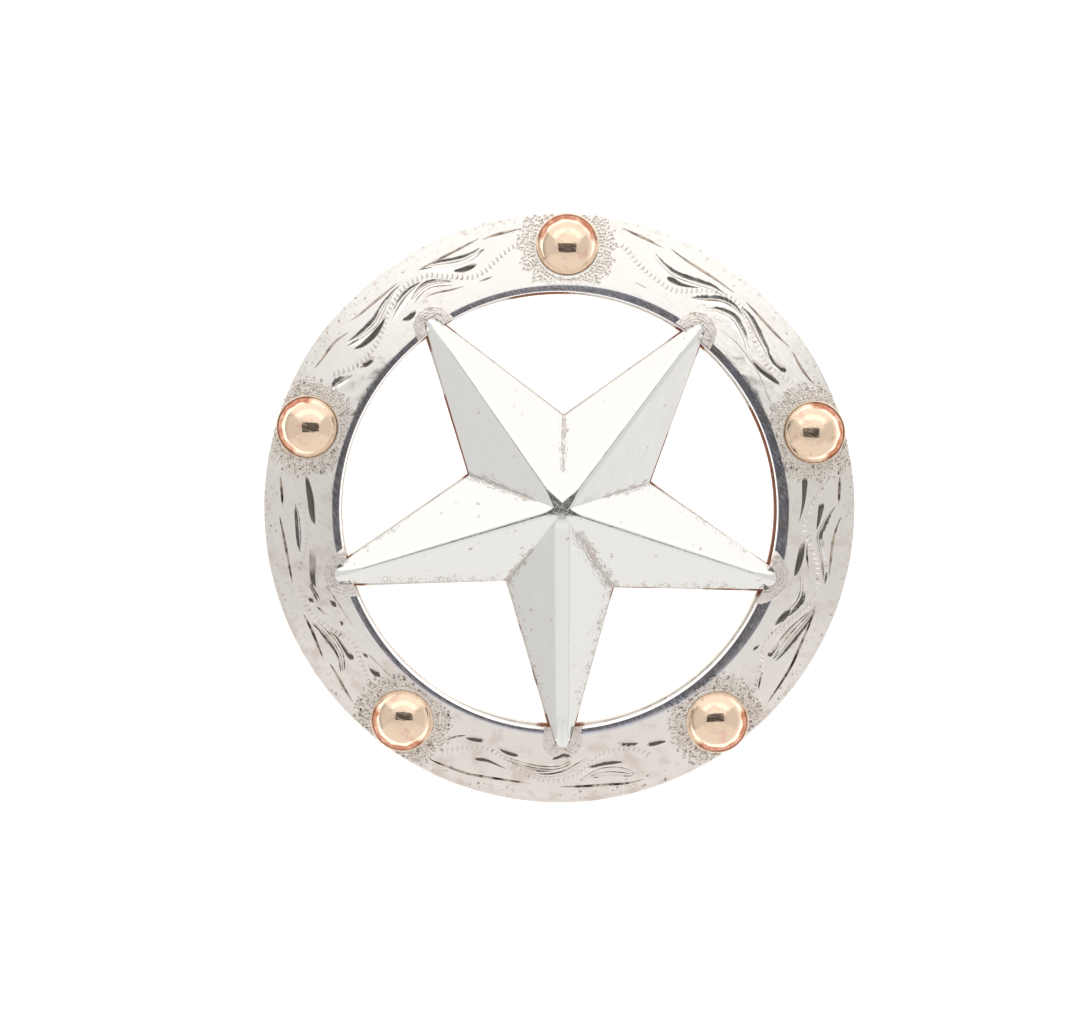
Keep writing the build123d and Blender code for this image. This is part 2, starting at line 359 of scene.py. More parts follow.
def combine(body: Object, tool: Object, how: Joining) -> None:
    """Cut, fuse or intersect a body with a closed tool, which is used up.

    Args:
        body: The piece that is changed.
        tool: The other solid, whose finish its faces keep. One without takes the body's.
        how: What is done.
    """
    before = len(body.data.polygons)
    if not tool.data.materials:
        tool.data.materials.append(body.data.materials[0])
    step = body.modifiers.new("combine", "BOOLEAN")
    step.operation = how.value
    step.solver = "MANIFOLD"
    step.material_mode = "TRANSFER"
    step.object = tool
    take(body)
    bpy.ops.object.modifier_apply(modifier=step.name)
    if len(body.data.polygons) == before:
        log.warning("%s is unchanged by %s", body.name, tool.name)
    bpy.data.objects.remove(tool)


def to_frame(piece: Object, smooth: float) -> None:
    """Bring a finished piece from millimetres to metres.

    Args:
        piece: The piece.
        smooth: Angle in degrees below which its faces are shaded as one.
    """
    take(piece)
    piece.scale = (MM, MM, MM)
    bpy.ops.object.transform_apply(location=False, rotation=False, scale=True)
    bpy.ops.object.shade_smooth_by_angle(angle=smooth * DEGREE, keep_sharp_edges=False)


def paint(piece: Object, marks: Callable[[Vector], dict[str, float]]) -> None:
    """Store numbers at each vertex, for a finish to read.

    Args:
        piece: The piece, still in millimetres.
        marks: Gives the numbers at a place, each under its attribute's name.
    """
    rows = [marks(vertex.co) for vertex in piece.data.vertices]
    for name in rows[0]:
        layer = piece.data.attributes.new(name, "FLOAT", "POINT")
        layer.data.foreach_set("value", [row[name] for row in rows])


def link(name: str, data: ID) -> Object:
    """Put a mesh or a curve in the scene.

    Args:
        name: The new object's name.
        data: What it shows.

    Returns:
        The object.
    """
    thing = bpy.data.objects.new(name, data)
    bpy.context.scene.collection.objects.link(thing)
    return thing


def clip(value: float) -> float:
    """The value kept between 0 and 1."""
    return min(1.0, max(0.0, value))


def soft_low(first: float, second: float, width: float) -> float:
    """The lower of two values, with a rounded change from one to the other."""
    share = clip(0.5 + (second - first) / (2 * width))
    return second + (first - second) * share - width * share * (1 - share)


def polar(radius: float, angle: float, level: float = 0.0) -> Vector:
    """A point at a radius, an angle in degrees and a level."""
    return Vector((radius * math.cos(angle * DEGREE), radius * math.sin(angle * DEGREE), level))


def bearing(point: Vector) -> float:
    """A point's angle about the Z axis, from 0 to 360 degrees."""
    return math.degrees(math.atan2(point.y, point.x)) % 360


def turn_to(first: float, second: float) -> float:
    """Degrees from one angle to another, the short way round."""
    return abs((first - second + 180) % 360 - 180)


def flat_distance(point: Vector, other: Vector) -> float:
    """Distance between two points seen from above."""
    return (point - other).to_2d().length


def apart(point: Vector, start: Vector, end: Vector) -> tuple[float, float]:
    """How a point lies beside a line, seen from above.

    Args:
        point: The point.
        start: The line's start.
        end: The line's end.

    Returns:
        The distance from the line, and the share of the line reached beside the point.
    """
    run = (end - start).to_2d()
    away = (point - start).to_2d()
    share = clip(away.dot(run) / run.length_squared)
    return (away - run * share).length, share


def smooth_line(points: Sequence[Vector], step: float) -> list[Vector]:
    """Points at even steps along a soft line through the given points.

    Args:
        points: The points that the line passes.
        step: Distance from one point to the next.

    Returns:
        The new points, the given line's two ends among them.
    """
    ends = [points[0] * 2 - points[1], *points, points[-1] * 2 - points[-2]]
    fine = []
    for a, b, c, d in zip(ends, ends[1:], ends[2:], ends[3:]):
        for part in range(8):
            t = part / 8
            bend = (2 * a - 5 * b + 4 * c - d) * t * t + (3 * b - a - 3 * c + d) * t**3
            fine.append(b + ((c - a) * t + bend) / 2)
    fine.append(points[-1])
    lengths = [0.0]
    for a, b in zip(fine, fine[1:]):
        lengths.append(lengths[-1] + (b - a).length)
    count = max(2, round(lengths[-1] / step))
    line, here = [], 0
    for number in range(count + 1):
        want = lengths[-1] * number / count
        while here < len(fine) - 2 and lengths[here + 1] < want:
            here += 1
        span = lengths[here + 1] - lengths[here]
        line.append(fine[here].lerp(fine[here + 1], (want - lengths[here]) / span))
    return line


def turned(name: str, section: Sequence[Point2], steps: int) -> Object:
    """A ring or cup turned about the Z axis.

    Args:
        name: The piece's name.
        section: Its closed half section, radius and height, without the first point again.
        steps: How many steps go round.

    Returns:
        The closed piece.
    """
    bpy.ops.mesh.primitive_plane_add(size=1.0)
    piece = bpy.context.object
    piece.name = name
    with editing(piece):
        bpy.ops.mesh.select_all(action="SELECT")
        bpy.ops.mesh.merge(type="CENTER")
        here = Vector((section[0][0], 0, section[0][1]))
        bpy.ops.transform.translate(value=here)
        for radius, level in [*section[1:], section[0]]:
            there = Vector((radius, 0, level))
            bpy.ops.mesh.extrude_region_move(TRANSFORM_OT_translate={"value": there - here})
            here = there
        bpy.ops.mesh.select_all(action="SELECT")
        bpy.ops.mesh.remove_doubles(threshold=1e-5)
        bpy.ops.mesh.spin(steps=steps, angle=2 * math.pi, center=(0, 0, 0), axis=(0, 0, 1))
    close_up(piece, 1e-5)
    return piece


def scatter(name: str, pattern: Object, places: Sequence[Matrix]) -> Object:
    """Copies of one small closed pattern, joined in one mesh.

    Args:
        name: The new object's name.
        pattern: The object that is copied, and then used up.
        places: Where each copy goes.

    Returns:
        The joined object.
    """
    points, faces = [], []
    for place in places:
        start = len(points)
        points += [place @ v.co for v in pattern.data.vertices]
        faces += [[start + index for index in face.vertices] for face in pattern.data.polygons]
    mesh = bpy.data.meshes.new(name)
    mesh.from_pydata(points, [], faces)
    for material in pattern.data.materials:
        mesh.materials.append(material)
    joined = link(name, mesh)
    bpy.data.objects.remove(pattern)
    return joined


@dataclass(frozen=True)
class DomePlace:
    """Place of a dome: its angle in degrees and its share of the common radius."""

    angle: float
    reach: float
    ring_radius: float = 19.715
    seat_level: float = 1.82
    lean: float = 8.0

    def middle(self) -> Vector:
        """The dome's middle seen from above."""
        return polar(self.ring_radius * self.reach, self.angle)

    def matrix(self, lift: float = 0.0) -> Matrix:
        """How the dome stands, leaning outwards with the rim's face.

        Args:
            lift: How far it stands over the floor of its seat.

        Returns:
            What brings it here from the origin.
        """
        turn = Matrix.Rotation(self.angle * DEGREE, 4, "Z")
        where = Matrix.Translation((self.ring_radius * self.reach, 0, self.seat_level + lift))
        return turn @ where @ Matrix.Rotation(self.lean * DEGREE, 4, "Y")


DOMES = (
    DomePlace(88.3, 0.995),
    DomePlace(16.7, 1.002),
    DomePlace(-53.5, 1.002),
    DomePlace(-126.6, 0.996),
    DomePlace(162.0, 0.998),
)


class Board:
    """A node tree with short calls that add nodes and wire them."""

    def __init__(self, tree: NodeTree) -> None:
        """Take over a tree and clear it."""
        self.tree = tree
        tree.nodes.clear()

    def add(self, kind: str, inputs: dict[str | int, object] | None = None, **settings: object) -> Node:
        """Add a node.

        Args:
            kind: The node's type, without its ShaderNode prefix.
            inputs: Values or sockets by the names or numbers of the node's inputs.
            settings: The node's own properties.

        Returns:
            The node.
        """
        node = self.tree.nodes.new("ShaderNode" + kind)
        for key, value in settings.items():
            setattr(node, key, value)
        for key, value in (inputs or {}).items():
            self.feed(node.inputs[key], value)
        return node

    def feed(self, socket: NodeSocket, value: object) -> None:
        """Wire a socket or set a value on an input.

        Args:
            socket: The input.
            value: Another socket, a number, a vector or a colour.
        """
        if isinstance(value, NodeSocket):
            self.tree.links.new(value, socket)
        elif isinstance(value, tuple) and socket.type == "RGBA":
            socket.default_value = (*value, 1.0)
        else:
            socket.default_value = value

    def maths(self, operation: str, *values: Value) -> NodeSocket:
        """The result of one sum on numbers or sockets."""
        return self.add("Math", dict(enumerate(values)), operation=operation).outputs[0]

    def times(self, *values: Value) -> NodeSocket:
        """The product of two or more values."""
        return reduce(partial(self.maths, "MULTIPLY"), values)

    def total(self, *values: Value) -> NodeSocket:
        """The sum of two or more values."""
        return reduce(partial(self.maths, "ADD"), values)

    def highest(self, *values: Value) -> NodeSocket:
        """The highest of two or more values."""
        return reduce(partial(self.maths, "MAXIMUM"), values)

    def inverse(self, value: Value) -> NodeSocket:
        """One less the value."""
        return self.maths("SUBTRACT", 1.0, value)

    def ramp(self, value: Value, low: float, high: float, to: Point2 = (0.0, 1.0)) -> NodeSocket:
        """A soft step from the first to the second of two results as a value goes low to high."""
        ends = {"Value": value, "From Min": low, "From Max": high, "To Min": to[0], "To Max": to[1]}
        return self.add("MapRange", ends, interpolation_type="SMOOTHSTEP").outputs[0]

    def between(self, value: Value, low: float, high: float, soft: float) -> NodeSocket:
        """A mask of where a value lies between two others.

        Args:
            value: The value.
            low: Where the mask starts.
            high: Where it ends.
            soft: Half the width of each soft end.

        Returns:
            The mask.
        """
        rise = self.ramp(value, low - soft, low + soft)
        fall = self.ramp(value, high - soft, high + soft, (1.0, 0.0))
        return self.times(rise, fall)

    def mix(self, share: Value, first: object, second: object) -> NodeSocket:
        """A colour between two others."""
        return self.add("Mix", {0: share, 6: first, 7: second}, data_type="RGBA").outputs[2]

    def curve(self, value: Value, stops: Sequence[Point2], low: float, high: float) -> NodeSocket:
        """A result read off a soft curve.

        Args:
            value: Where the curve is read.
            stops: Values and their results, which are up to 2.
            low: The value at the curve's start.
            high: The value at its end.

        Returns:
            The result.
        """
        spread = self.add("MapRange", {"Value": value, "From Min": low, "From Max": high})
        node = self.add("ValToRGB", {0: spread.outputs[0]})
        points = node.color_ramp.elements
        node.color_ramp.interpolation = "EASE"
        for number, (at, result) in enumerate(stops):
            share = (at - low) / (high - low)
            point = points[number] if number < 2 else points.new(share)
            point.position = share
            point.color = (result / 2, result / 2, result / 2, 1)
        return self.times(node.outputs["Color"], 2.0)

    def noise(self, place: NodeSocket, size: Value, detail: float = 2.0) -> NodeSocket:
        """Soft noise from 0 to 1.

        Args:
            place: The place on the piece.
            size: About how large its features are, in millimetres.
            detail: How many finer layers it has.

        Returns:
            The noise.
        """
        scale = self.maths("DIVIDE", 1.0, size) if isinstance(size, NodeSocket) else 1.0 / size
        values = {"Vector": place, "Scale": scale, "Detail": detail}
        return self.add("TexNoise", values).outputs["Fac"]

    def place(self) -> NodeSocket:
        """The place on the piece, in millimetres."""
        values = {0: self.add("TexCoord").outputs["Object"], "Scale": 1.0 / MM}
        return self.add("VectorMath", values, operation="SCALE").outputs["Vector"]

    def axis(self, place: NodeSocket, name: str) -> NodeSocket:
        """One of the three numbers of a place."""
        return self.add("SeparateXYZ", {"Vector": place}).outputs[name]

    def painted(self, name: str) -> NodeSocket:
        """A number stored at the piece's vertices."""
        return self.add("Attribute", attribute_name=name).outputs["Fac"]


@dataclass(frozen=True)
class Effect:
    """A shader group that several finishes share, built at its first use."""

    name: str
    inputs: dict[str, float]
    outputs: Sequence[Output]
    wire: Callable[[Board, Node], Sequence[NodeSocket]]

    def tree(self) -> NodeTree:
        """Build the group, or find it.

        Returns:
            The group, with the place as its first input.
        """
        tree = bpy.data.node_groups.get(self.name)
        if tree:
            return tree
        tree = bpy.data.node_groups.new(self.name, "ShaderNodeTree")
        sockets = tree.interface
        sockets.new_socket("Place", in_out="INPUT", socket_type="NodeSocketVector")
        for key, value in self.inputs.items():
            socket = sockets.new_socket(key, in_out="INPUT", socket_type="NodeSocketFloat")
            socket.default_value = value
        for output in self.outputs:
            sockets.new_socket(output.value, in_out="OUTPUT", socket_type="NodeSocketFloat")
        board = Board(tree)
        entry, leave = tree.nodes.new("NodeGroupInput"), tree.nodes.new("NodeGroupOutput")
        for output, socket in zip(self.outputs, self.wire(board, entry)):
            board.feed(leave.inputs[output.value], socket)
        return tree

    def use(
        self, board: Board, place: NodeSocket, output: Output = Output.MASK, **values: Value
    ) -> NodeSocket:
        """Put the group in a finish.

        Args:
            board: The finish's board.
            place: The place on the piece.
            output: Which of the group's outputs is wanted.
            values: Values or sockets for its other inputs, by their names in small letters.

        Returns:
            The output.
        """
        inputs = {"Place": place} | {key.capitalize(): value for key, value in values.items()}
        return board.add("Group", inputs, node_tree=self.tree()).outputs[output.value]


def polish(board: Board, place: NodeSocket, size: float) -> NodeSocket:
    """Height of soft waves of about a size in millimetres, as hand polishing leaves them."""
    return POLISH.use(board, place, Output.HEIGHT, size=size)


def wire_scratches(board: Board, entry: Node) -> Sequence[NodeSocket]:
    """Wire fine scratches that run one way.

    Args:
        board: The group's board.
        entry: The group's input node.

    Returns:
        The mask and the height.
    """
    given = entry.outputs
    turn = {"Vector": given["Place"], "Angle": given["Angle"]}
    turned_place = board.add("VectorRotate", turn, rotation_type="Z_AXIS").outputs[0]
    long = board.add("Mapping", {"Vector": turned_place, "Scale": (0.045, 1.0, 0.3)})
    grain = board.noise(long.outputs[0], given["Width"], 1.0)
    patch = board.noise(given["Place"], 1.6, 2.0)
    level = board.maths("SUBTRACT", 0.80, board.times(given["Share"], 0.3))
    line = board.maths("SUBTRACT", board.total(grain, board.times(patch, 0.18)), level)
    return board.ramp(line, 0.0, 0.05), grain


def wire_stains(board: Board, entry: Node) -> Sequence[NodeSocket]:
    """Wire cloudy stains.

    Args:
        board: The group's board.
        entry: The group's input node.

    Returns:
        The mask.
    """
    given = entry.outputs
    cloud = board.noise(given["Place"], given["Size"], 6.0)
    level = board.maths("SUBTRACT", 0.72, board.times(given["Share"], 0.44))
    over = board.maths("DIVIDE", board.maths("SUBTRACT", cloud, level), given["Edge"])
    return (board.ramp(over, 0.0, 1.0),)


def wire_specks(board: Board, entry: Node) -> Sequence[NodeSocket]:
    """Wire small dark specks and pits.

    Args:
        board: The group's board.
        entry: The group's input node.

    Returns:
        The mask.
    """
    given = entry.outputs
    scale = board.maths("DIVIDE", 1.0, given["Size"])
    wobble = board.noise(given["Place"], 0.2, 2.0)
    cells = board.add("TexVoronoi", {"Vector": given["Place"], "Scale": scale}).outputs
    far = board.total(cells["Distance"], board.times(wobble, 0.5))
    lot = board.add("SeparateColor", {"Color": cells["Color"]}).outputs[0]
    chosen = board.maths("LESS_THAN", lot, given["Share"])
    return (board.times(board.ramp(far, 0.42, 0.62, (1.0, 0.0)), chosen),)


def wire_polish(board: Board, entry: Node) -> Sequence[NodeSocket]:
    """Wire the soft waves that hand polishing leaves.

    Args:
        board: The group's board.
        entry: The group's input node.

    Returns:
        The height.
    """
    wide = board.noise(entry.outputs["Place"], entry.outputs["Size"], 1.0)
    near = board.noise(entry.outputs["Place"], 0.45, 1.0)
    return (board.total(wide, board.times(near, 0.12)),)


SCRATCHES = Effect(
    "scratches", {"Angle": 0.0, "Width": 0.06, "Share": 0.5}, tuple(Output), wire_scratches
)
STAINS = Effect("stains", {"Size": 2.0, "Share": 0.5, "Edge": 0.12}, (Output.MASK,), wire_stains)
SPECKS = Effect("specks", {"Size": 0.3, "Share": 0.5}, (Output.MASK,), wire_specks)
POLISH = Effect("polish", {"Size": 2.0}, (Output.HEIGHT,), wire_polish)


def new_finish(name: str) -> tuple[Material, Board, Node]:
    """A material with a Principled shader on its output.

    Args:
        name: The material's name.

    Returns:
        The material, its board and the shader.
    """
    material = bpy.data.materials.new(name)
    material.use_nodes = True
    board = Board(material.node_tree)
    shader = board.add("BsdfPrincipled")
    board.add("OutputMaterial", {"Surface": shader.outputs[0]})
    return material, board, shader


@dataclass(frozen=True)
class Look:
    """A metal's colour and roughness, and its fine relief as a height in millimetres."""

    colour: NodeSocket
    roughness: NodeSocket
    height: NodeSocket


@dataclass(frozen=True)
class Metal:
    """A metal finish. Each kind of it says what it looks like."""

    name: str

    def look(self, board: Board, place: NodeSocket) -> Look:
        """What the metal looks like at a place."""
        raise NotImplementedError

    def make(self) -> Material:
        """Build the material.

        Returns:
            The material, with constants on the shader's own sockets.
        """
        material, board, shader = new_finish(self.name)
        look = self.look(board, board.place())
        bump = board.add("Bump", {"Height": look.height, "Distance": MM})
        board.feed(shader.inputs["Base Color"], look.colour)
        board.feed(shader.inputs["Metallic"], 1.0)
        board.feed(shader.inputs["Roughness"], look.roughness)
        board.feed(shader.inputs["Normal"], bump.outputs[0])
        return material


@dataclass(frozen=True)
class EngravedSilver(Metal):
    """The rim's face: bright worn silver, stained towards its edge, grey round the domes, and darker
    and warmer towards the bottom.
    """

    silver: Colour = (0.95, 0.93, 0.90)
    darkened: Colour = (0.90, 0.84, 0.80)
    stain: Colour = (0.76, 0.66, 0.60)
    grime: Colour = (0.34, 0.26, 0.21)
    roughness: float = 0.07
    darkening: float = 0.75
    staining: float = 0.85
    ground_from: float = 0.80
    ground_past: float = 1.15
    fade_from: float = 8.0
    fade_past: float = 16.0
    wave_height: float = 0.030
    hair_depth: float = 0.0012
    punch_height: float = 0.030
    pit_depth: float = 0.010

    def look(self, board: Board, place: NodeSocket) -> Look:
        """What the rim's face looks like.

        Args:
            board: The finish's board.
            place: The place on the rim.

        Returns:
            The look, lighter and less grainy towards the top of the rim.
        """
        halo, solder = board.painted("halo"), board.painted("solder")
        margin, low = board.painted("margin"), board.painted("low")
        cloud = STAINS.use(board, place, size=1.6, share=0.5, edge=0.2)
        edge_cloud = STAINS.use(board, place, size=0.45, share=0.45, edge=0.25)
        speck = SPECKS.use(board, place, size=0.24, share=0.55)
        fine = SPECKS.use(board, place, size=0.15, share=0.5)
        up = board.axis(place, "Y")
        # The grainy ground fades to half towards the top of the rim.
        upward_fade = board.ramp(up, self.fade_from, self.fade_past, (1.0, 0.5))
        ground = board.total(halo, board.noise(place, 0.5, 4.0))
        broken = board.times(board.ramp(ground, self.ground_from, self.ground_past), upward_fade)
        pitted = board.highest(board.times(broken, 0.7), board.times(margin, edge_cloud, 0.8))
        dark = board.highest(board.times(speck, broken, 0.9), board.times(fine, pitted))
        # Towards the bottom of the rim the stain clouds grow and the colour turns darker and warmer.
        stained = board.highest(
            board.times(cloud, low), board.times(edge_cloud, margin), board.times(solder, edge_cloud)
        )
        bare = board.mix(board.times(low, self.darkening), self.silver, self.darkened)
        colour = board.mix(board.times(stained, self.staining), bare, self.stain)
        haze = board.times(board.noise(place, 0.9, 3.0), 0.06)
        hair = SCRATCHES.use(board, place, angle=0.7, width=0.07, share=0.5)
        return Look(
            board.mix(dark, colour, self.grime),
            board.total(self.roughness, haze, board.times(broken, 0.22), board.times(dark, 0.25)),
            board.total(
                board.times(polish(board, place, 1.3), self.wave_height),
                board.times(hair, -self.hair_depth),
                board.times(board.noise(place, 0.16, 2.0), broken, self.punch_height),
                board.times(dark, -self.pit_depth),
            ),
        )


@dataclass(frozen=True)
class CutSilver(Metal):
    """The walls of an engraver's cut, with polish of long ago and dark dirt left in it, which also
    stands in for painted shade deep in the cut.
    """

    silver: Colour = (0.86, 0.80, 0.74)
    dirt_and_shade: Colour = (0.10, 0.07, 0.05)
    share: float = 0.5
    patch: float = 0.8
    roughness: float = 0.22
    fade_from: float = 4.0
    fade_width: float = 8.0
    fade_share: float = 1.0
    grain_height: float = 0.004

    def look(self, board: Board, place: NodeSocket) -> Look:
        """What the walls look like.

        Args:
            board: The finish's board.
            place: The place on the rim.

        Returns:
            The look, with less of the dark colour towards the top of the rim.
        """
        stained = STAINS.use(board, place, size=self.patch, share=self.share, edge=0.25)
        up = board.axis(place, "Y")
        fade_past = self.fade_from + self.fade_width
        left = board.ramp(up, self.fade_from, fade_past, (1.0, self.fade_share))
        # Painted shade: the dark colour is partly dirt in the cut and partly the shade deep in it, and
        # it fades towards the top of the rim.
        dirt_and_shade_share = board.times(stained, left)
        return Look(
            board.mix(dirt_and_shade_share, self.silver, self.dirt_and_shade),
            board.total(self.roughness, board.times(dirt_and_shade_share, 0.25)),
            board.times(board.noise(place, 0.12, 2.0), self.grain_height),
        )


@dataclass(frozen=True)
class LedgeSilver(Metal):
    """The level ledge round the opening: bare silver, sanded flat, with fine slanting scratches."""

    slate: Colour = (0.80, 0.80, 0.93)
    warm: Colour = (0.86, 0.82, 0.84)
    roughness: float = 0.10
    dullness: float = 0.09
    scratch_depth: float = 0.0002

    def look(self, board: Board, place: NodeSocket) -> Look:
        """What the ledge looks like.

        Args:
            board: The finish's board.
            place: The place on the ledge.

        Returns:
            The look, duller towards the top of the rim.
        """
        line = SCRATCHES.use(board, place, angle=0.9, width=0.028, share=0.55)
        haze = board.times(board.noise(place, 0.12, 2.0), 0.05)
        dull = board.times(board.painted("dull"), self.dullness)
        return Look(
            board.mix(board.ramp(board.noise(place, 1.5, 3.0), 0.3, 0.7), self.warm, self.slate),
            board.total(self.roughness, haze, dull, board.times(line, 0.14)),
            board.times(line, -self.scratch_depth),
        )


@dataclass(frozen=True)
class FacetSilver(Metal):
    """The star's facets: soft bright silver with tarnish in its valleys and knocks on its ridges."""

    silver: Colour = (0.955, 0.95, 0.935)
    tarnish: Colour = (0.42, 0.32, 0.26)
    worn: Colour = (0.40, 0.39, 0.38)
    roughness: float = 0.05
    lane_stretch: float = 0.16
    lane_width: float = 0.085
    valley_from: float = 1.22
    valley_past: float = 1.32
    foot_from: float = 1.58
    foot_past: float = 1.72
    wave_height: float = 0.022
    scratch_depth: float = 0.0010
    knock_depth: float = 0.004
    crust_height: float = 0.020

    def look(self, board: Board, place: NodeSocket) -> Look:
        """What the facets look like.

        Args:
            board: The finish's board.
            place: The place on the star.

        Returns:
            The look, dark in ragged streaks that run along the valleys.
        """
        valley, ridge = board.painted("valley"), board.painted("ridge")
        foot, peak = board.painted("foot"), board.painted("peak")
        grain = board.noise(place, 0.16, 3.0)
        ragged = board.noise(place, 0.55, 4.0)
        along = board.times(board.painted("run"), self.lane_stretch)
        lane = board.add("CombineXYZ", {"X": along, "Y": board.painted("beside")}).outputs[0]
        worn = board.total(
            board.times(valley, 0.50), board.noise(lane, self.lane_width, 2.0),
            board.times(ragged, 0.40), board.times(grain, 0.45),
        )
        in_valley = board.times(
            board.ramp(worn, self.valley_from, self.valley_past), board.ramp(valley, 0.0, 0.12)
        )
        # Ragged darker patches near the star's outer edges, stronger towards the bottom.
        edge_sum = board.total(board.times(foot, 0.6), ragged, board.times(grain, 1.1))
        near_foot = board.ramp(edge_sum, self.foot_from, self.foot_past)
        dark = board.highest(board.times(in_valley, 0.62), board.times(near_foot, 0.45))
        line = board.highest(
            SCRATCHES.use(board, place, angle=0.5, width=0.06, share=0.35),
            SCRATCHES.use(board, place, angle=2.1, width=0.05, share=0.35),
        )
        speck = SPECKS.use(board, place, size=0.55, share=0.06)
        pits = board.times(speck, board.ramp(ragged, 0.45, 0.6))
        patch = board.ramp(board.noise(place, 0.8, 2.0), 0.4, 0.6)
        colour = board.mix(dark, self.silver, board.mix(patch, self.tarnish, self.worn))
        scuffed = board.times(board.highest(peak, board.times(ridge, 0.6)), line)
        return Look(
            board.mix(board.times(pits, 0.6), colour, self.tarnish),
            board.total(
                self.roughness, board.times(board.noise(place, 1.2, 4.0), 0.07),
                board.times(dark, 0.3), board.times(scuffed, 0.34), board.times(peak, 0.08),
            ),
            board.total(
                board.times(polish(board, place, 2.6), self.wave_height),
                board.times(line, -self.scratch_depth),
                board.times(ridge, grain, -self.knock_depth),
                board.times(dark, grain, self.crust_height),
            ),
        )


@dataclass(frozen=True)
class RoseGold(Metal):
    """The domes: pale gold with a painted dark copper crescent that stands in for a reflection, pink
    spots and fine scratches.
    """

    gold: Colour = (0.97, 0.76, 0.585)
    dark_reflection: Colour = (0.38, 0.14, 0.075)
    spot: Colour = (0.85, 0.50, 0.42)
    roughness: float = 0.06
    wave_height: float = 0.012
    scratch_depth: float = 0.001

    def look(self, board: Board, place: NodeSocket) -> Look:
        """What a dome looks like.

        Args:
            board: The finish's board.
            place: The place on the dome.

        Returns:
            The look.
        """
        spots = STAINS.use(board, place, size=0.8, share=0.34, edge=0.08)
        hair = SCRATCHES.use(board, place, angle=0.4, width=0.05, share=0.4)
        thin = board.ramp(board.noise(place, 0.5, 3.0), 0.25, 0.6, (0.65, 1.0))
        colour = board.mix(board.times(spots, 0.5), self.gold, self.spot)
        waves = board.times(polish(board, place, 1.8), self.wave_height)
        return Look(
            # Painted reflection: a dark copper crescent on each dome's outward side, broken up by
            # noise.
            board.mix(board.times(board.painted("worn"), thin), colour, self.dark_reflection),
            board.total(self.roughness, board.times(hair, 0.15)),
            board.total(waves, board.times(hair, -self.scratch_depth)),
        )


@dataclass(frozen=True)
class BrushedMetal(Metal):
    """What the plate and the socket have in common: clouds of stain over brush marks."""

    brush_height: float = 0.004

    def cloud(self, board: Board, place: NodeSocket) -> NodeSocket:
        """The clouds of stain."""
        return STAINS.use(board, place, size=3.0, share=0.5, edge=0.3)

    def brush(self, board: Board, place: NodeSocket) -> NodeSocket:
        """The height of the brush marks."""
        marks = SCRATCHES.use(board, place, Output.HEIGHT, angle=0.3, width=0.09, share=0.8)
        return board.times(marks, self.brush_height)


@dataclass(frozen=True)
class BronzeSheet(BrushedMetal):
    """The back plate: pale along most of its edges, partly rubbed bright and partly a painted sheen,
    and red-brown in stretches of tarnish that also carry painted shade.
    """

    rubbing_and_sheen: Colour = (0.90, 0.85, 0.80)
    bronze: Colour = (0.60, 0.37, 0.23)
    old: Colour = (0.36, 0.17, 0.11)
    roughness: float = 0.42
    back_level: float = 0.25
    back_fade: float = 0.4

    def look(self, board: Board, place: NodeSocket) -> Look:
        """What the plate looks like.

        Args:
            board: The finish's board.
            place: The place on the plate.

        Returns:
            The look, bronze at the back.
        """
        cloud = self.cloud(board, place)
        level = board.axis(place, "Z")
        back = board.ramp(level, self.back_level, self.back_level + self.back_fade, (1.0, 0.0))
        grain = board.noise(place, 0.3, 3.0)
        # Painted sheen and shade: the pale top is partly rubbed metal and partly painted sheen, and the
        # dark stretches are partly tarnish and partly painted shade.
        darkened = board.ramp(board.total(board.painted("old"), board.times(grain, 0.5)), 0.45, 0.85)
        bare = board.times(back, board.ramp(cloud, 0.0, 1.0, (0.7, 1.0)))
        return Look(
            board.mix(darkened, board.mix(bare, self.rubbing_and_sheen, self.bronze), self.old),
            board.total(self.roughness, board.times(cloud, 0.15)),
            self.brush(board, place),
        )


@dataclass(frozen=True)
class OldBrass(BrushedMetal):
    """Warm brass of the socket, brushed, with darker stains."""

    metal: Colour = (0.80, 0.60, 0.30)
    dark: Colour = (0.35, 0.22, 0.10)
    roughness: float = 0.28

    def look(self, board: Board, place: NodeSocket) -> Look:
        """What the socket looks like.

        Args:
            board: The finish's board.
            place: The place on the socket.

        Returns:
            The look.
        """
        cloud = self.cloud(board, place)
        return Look(
            board.mix(board.times(cloud, 0.7), self.metal, self.dark),
            board.total(self.roughness, board.times(cloud, 0.2)),
            self.brush(board, place),
        )


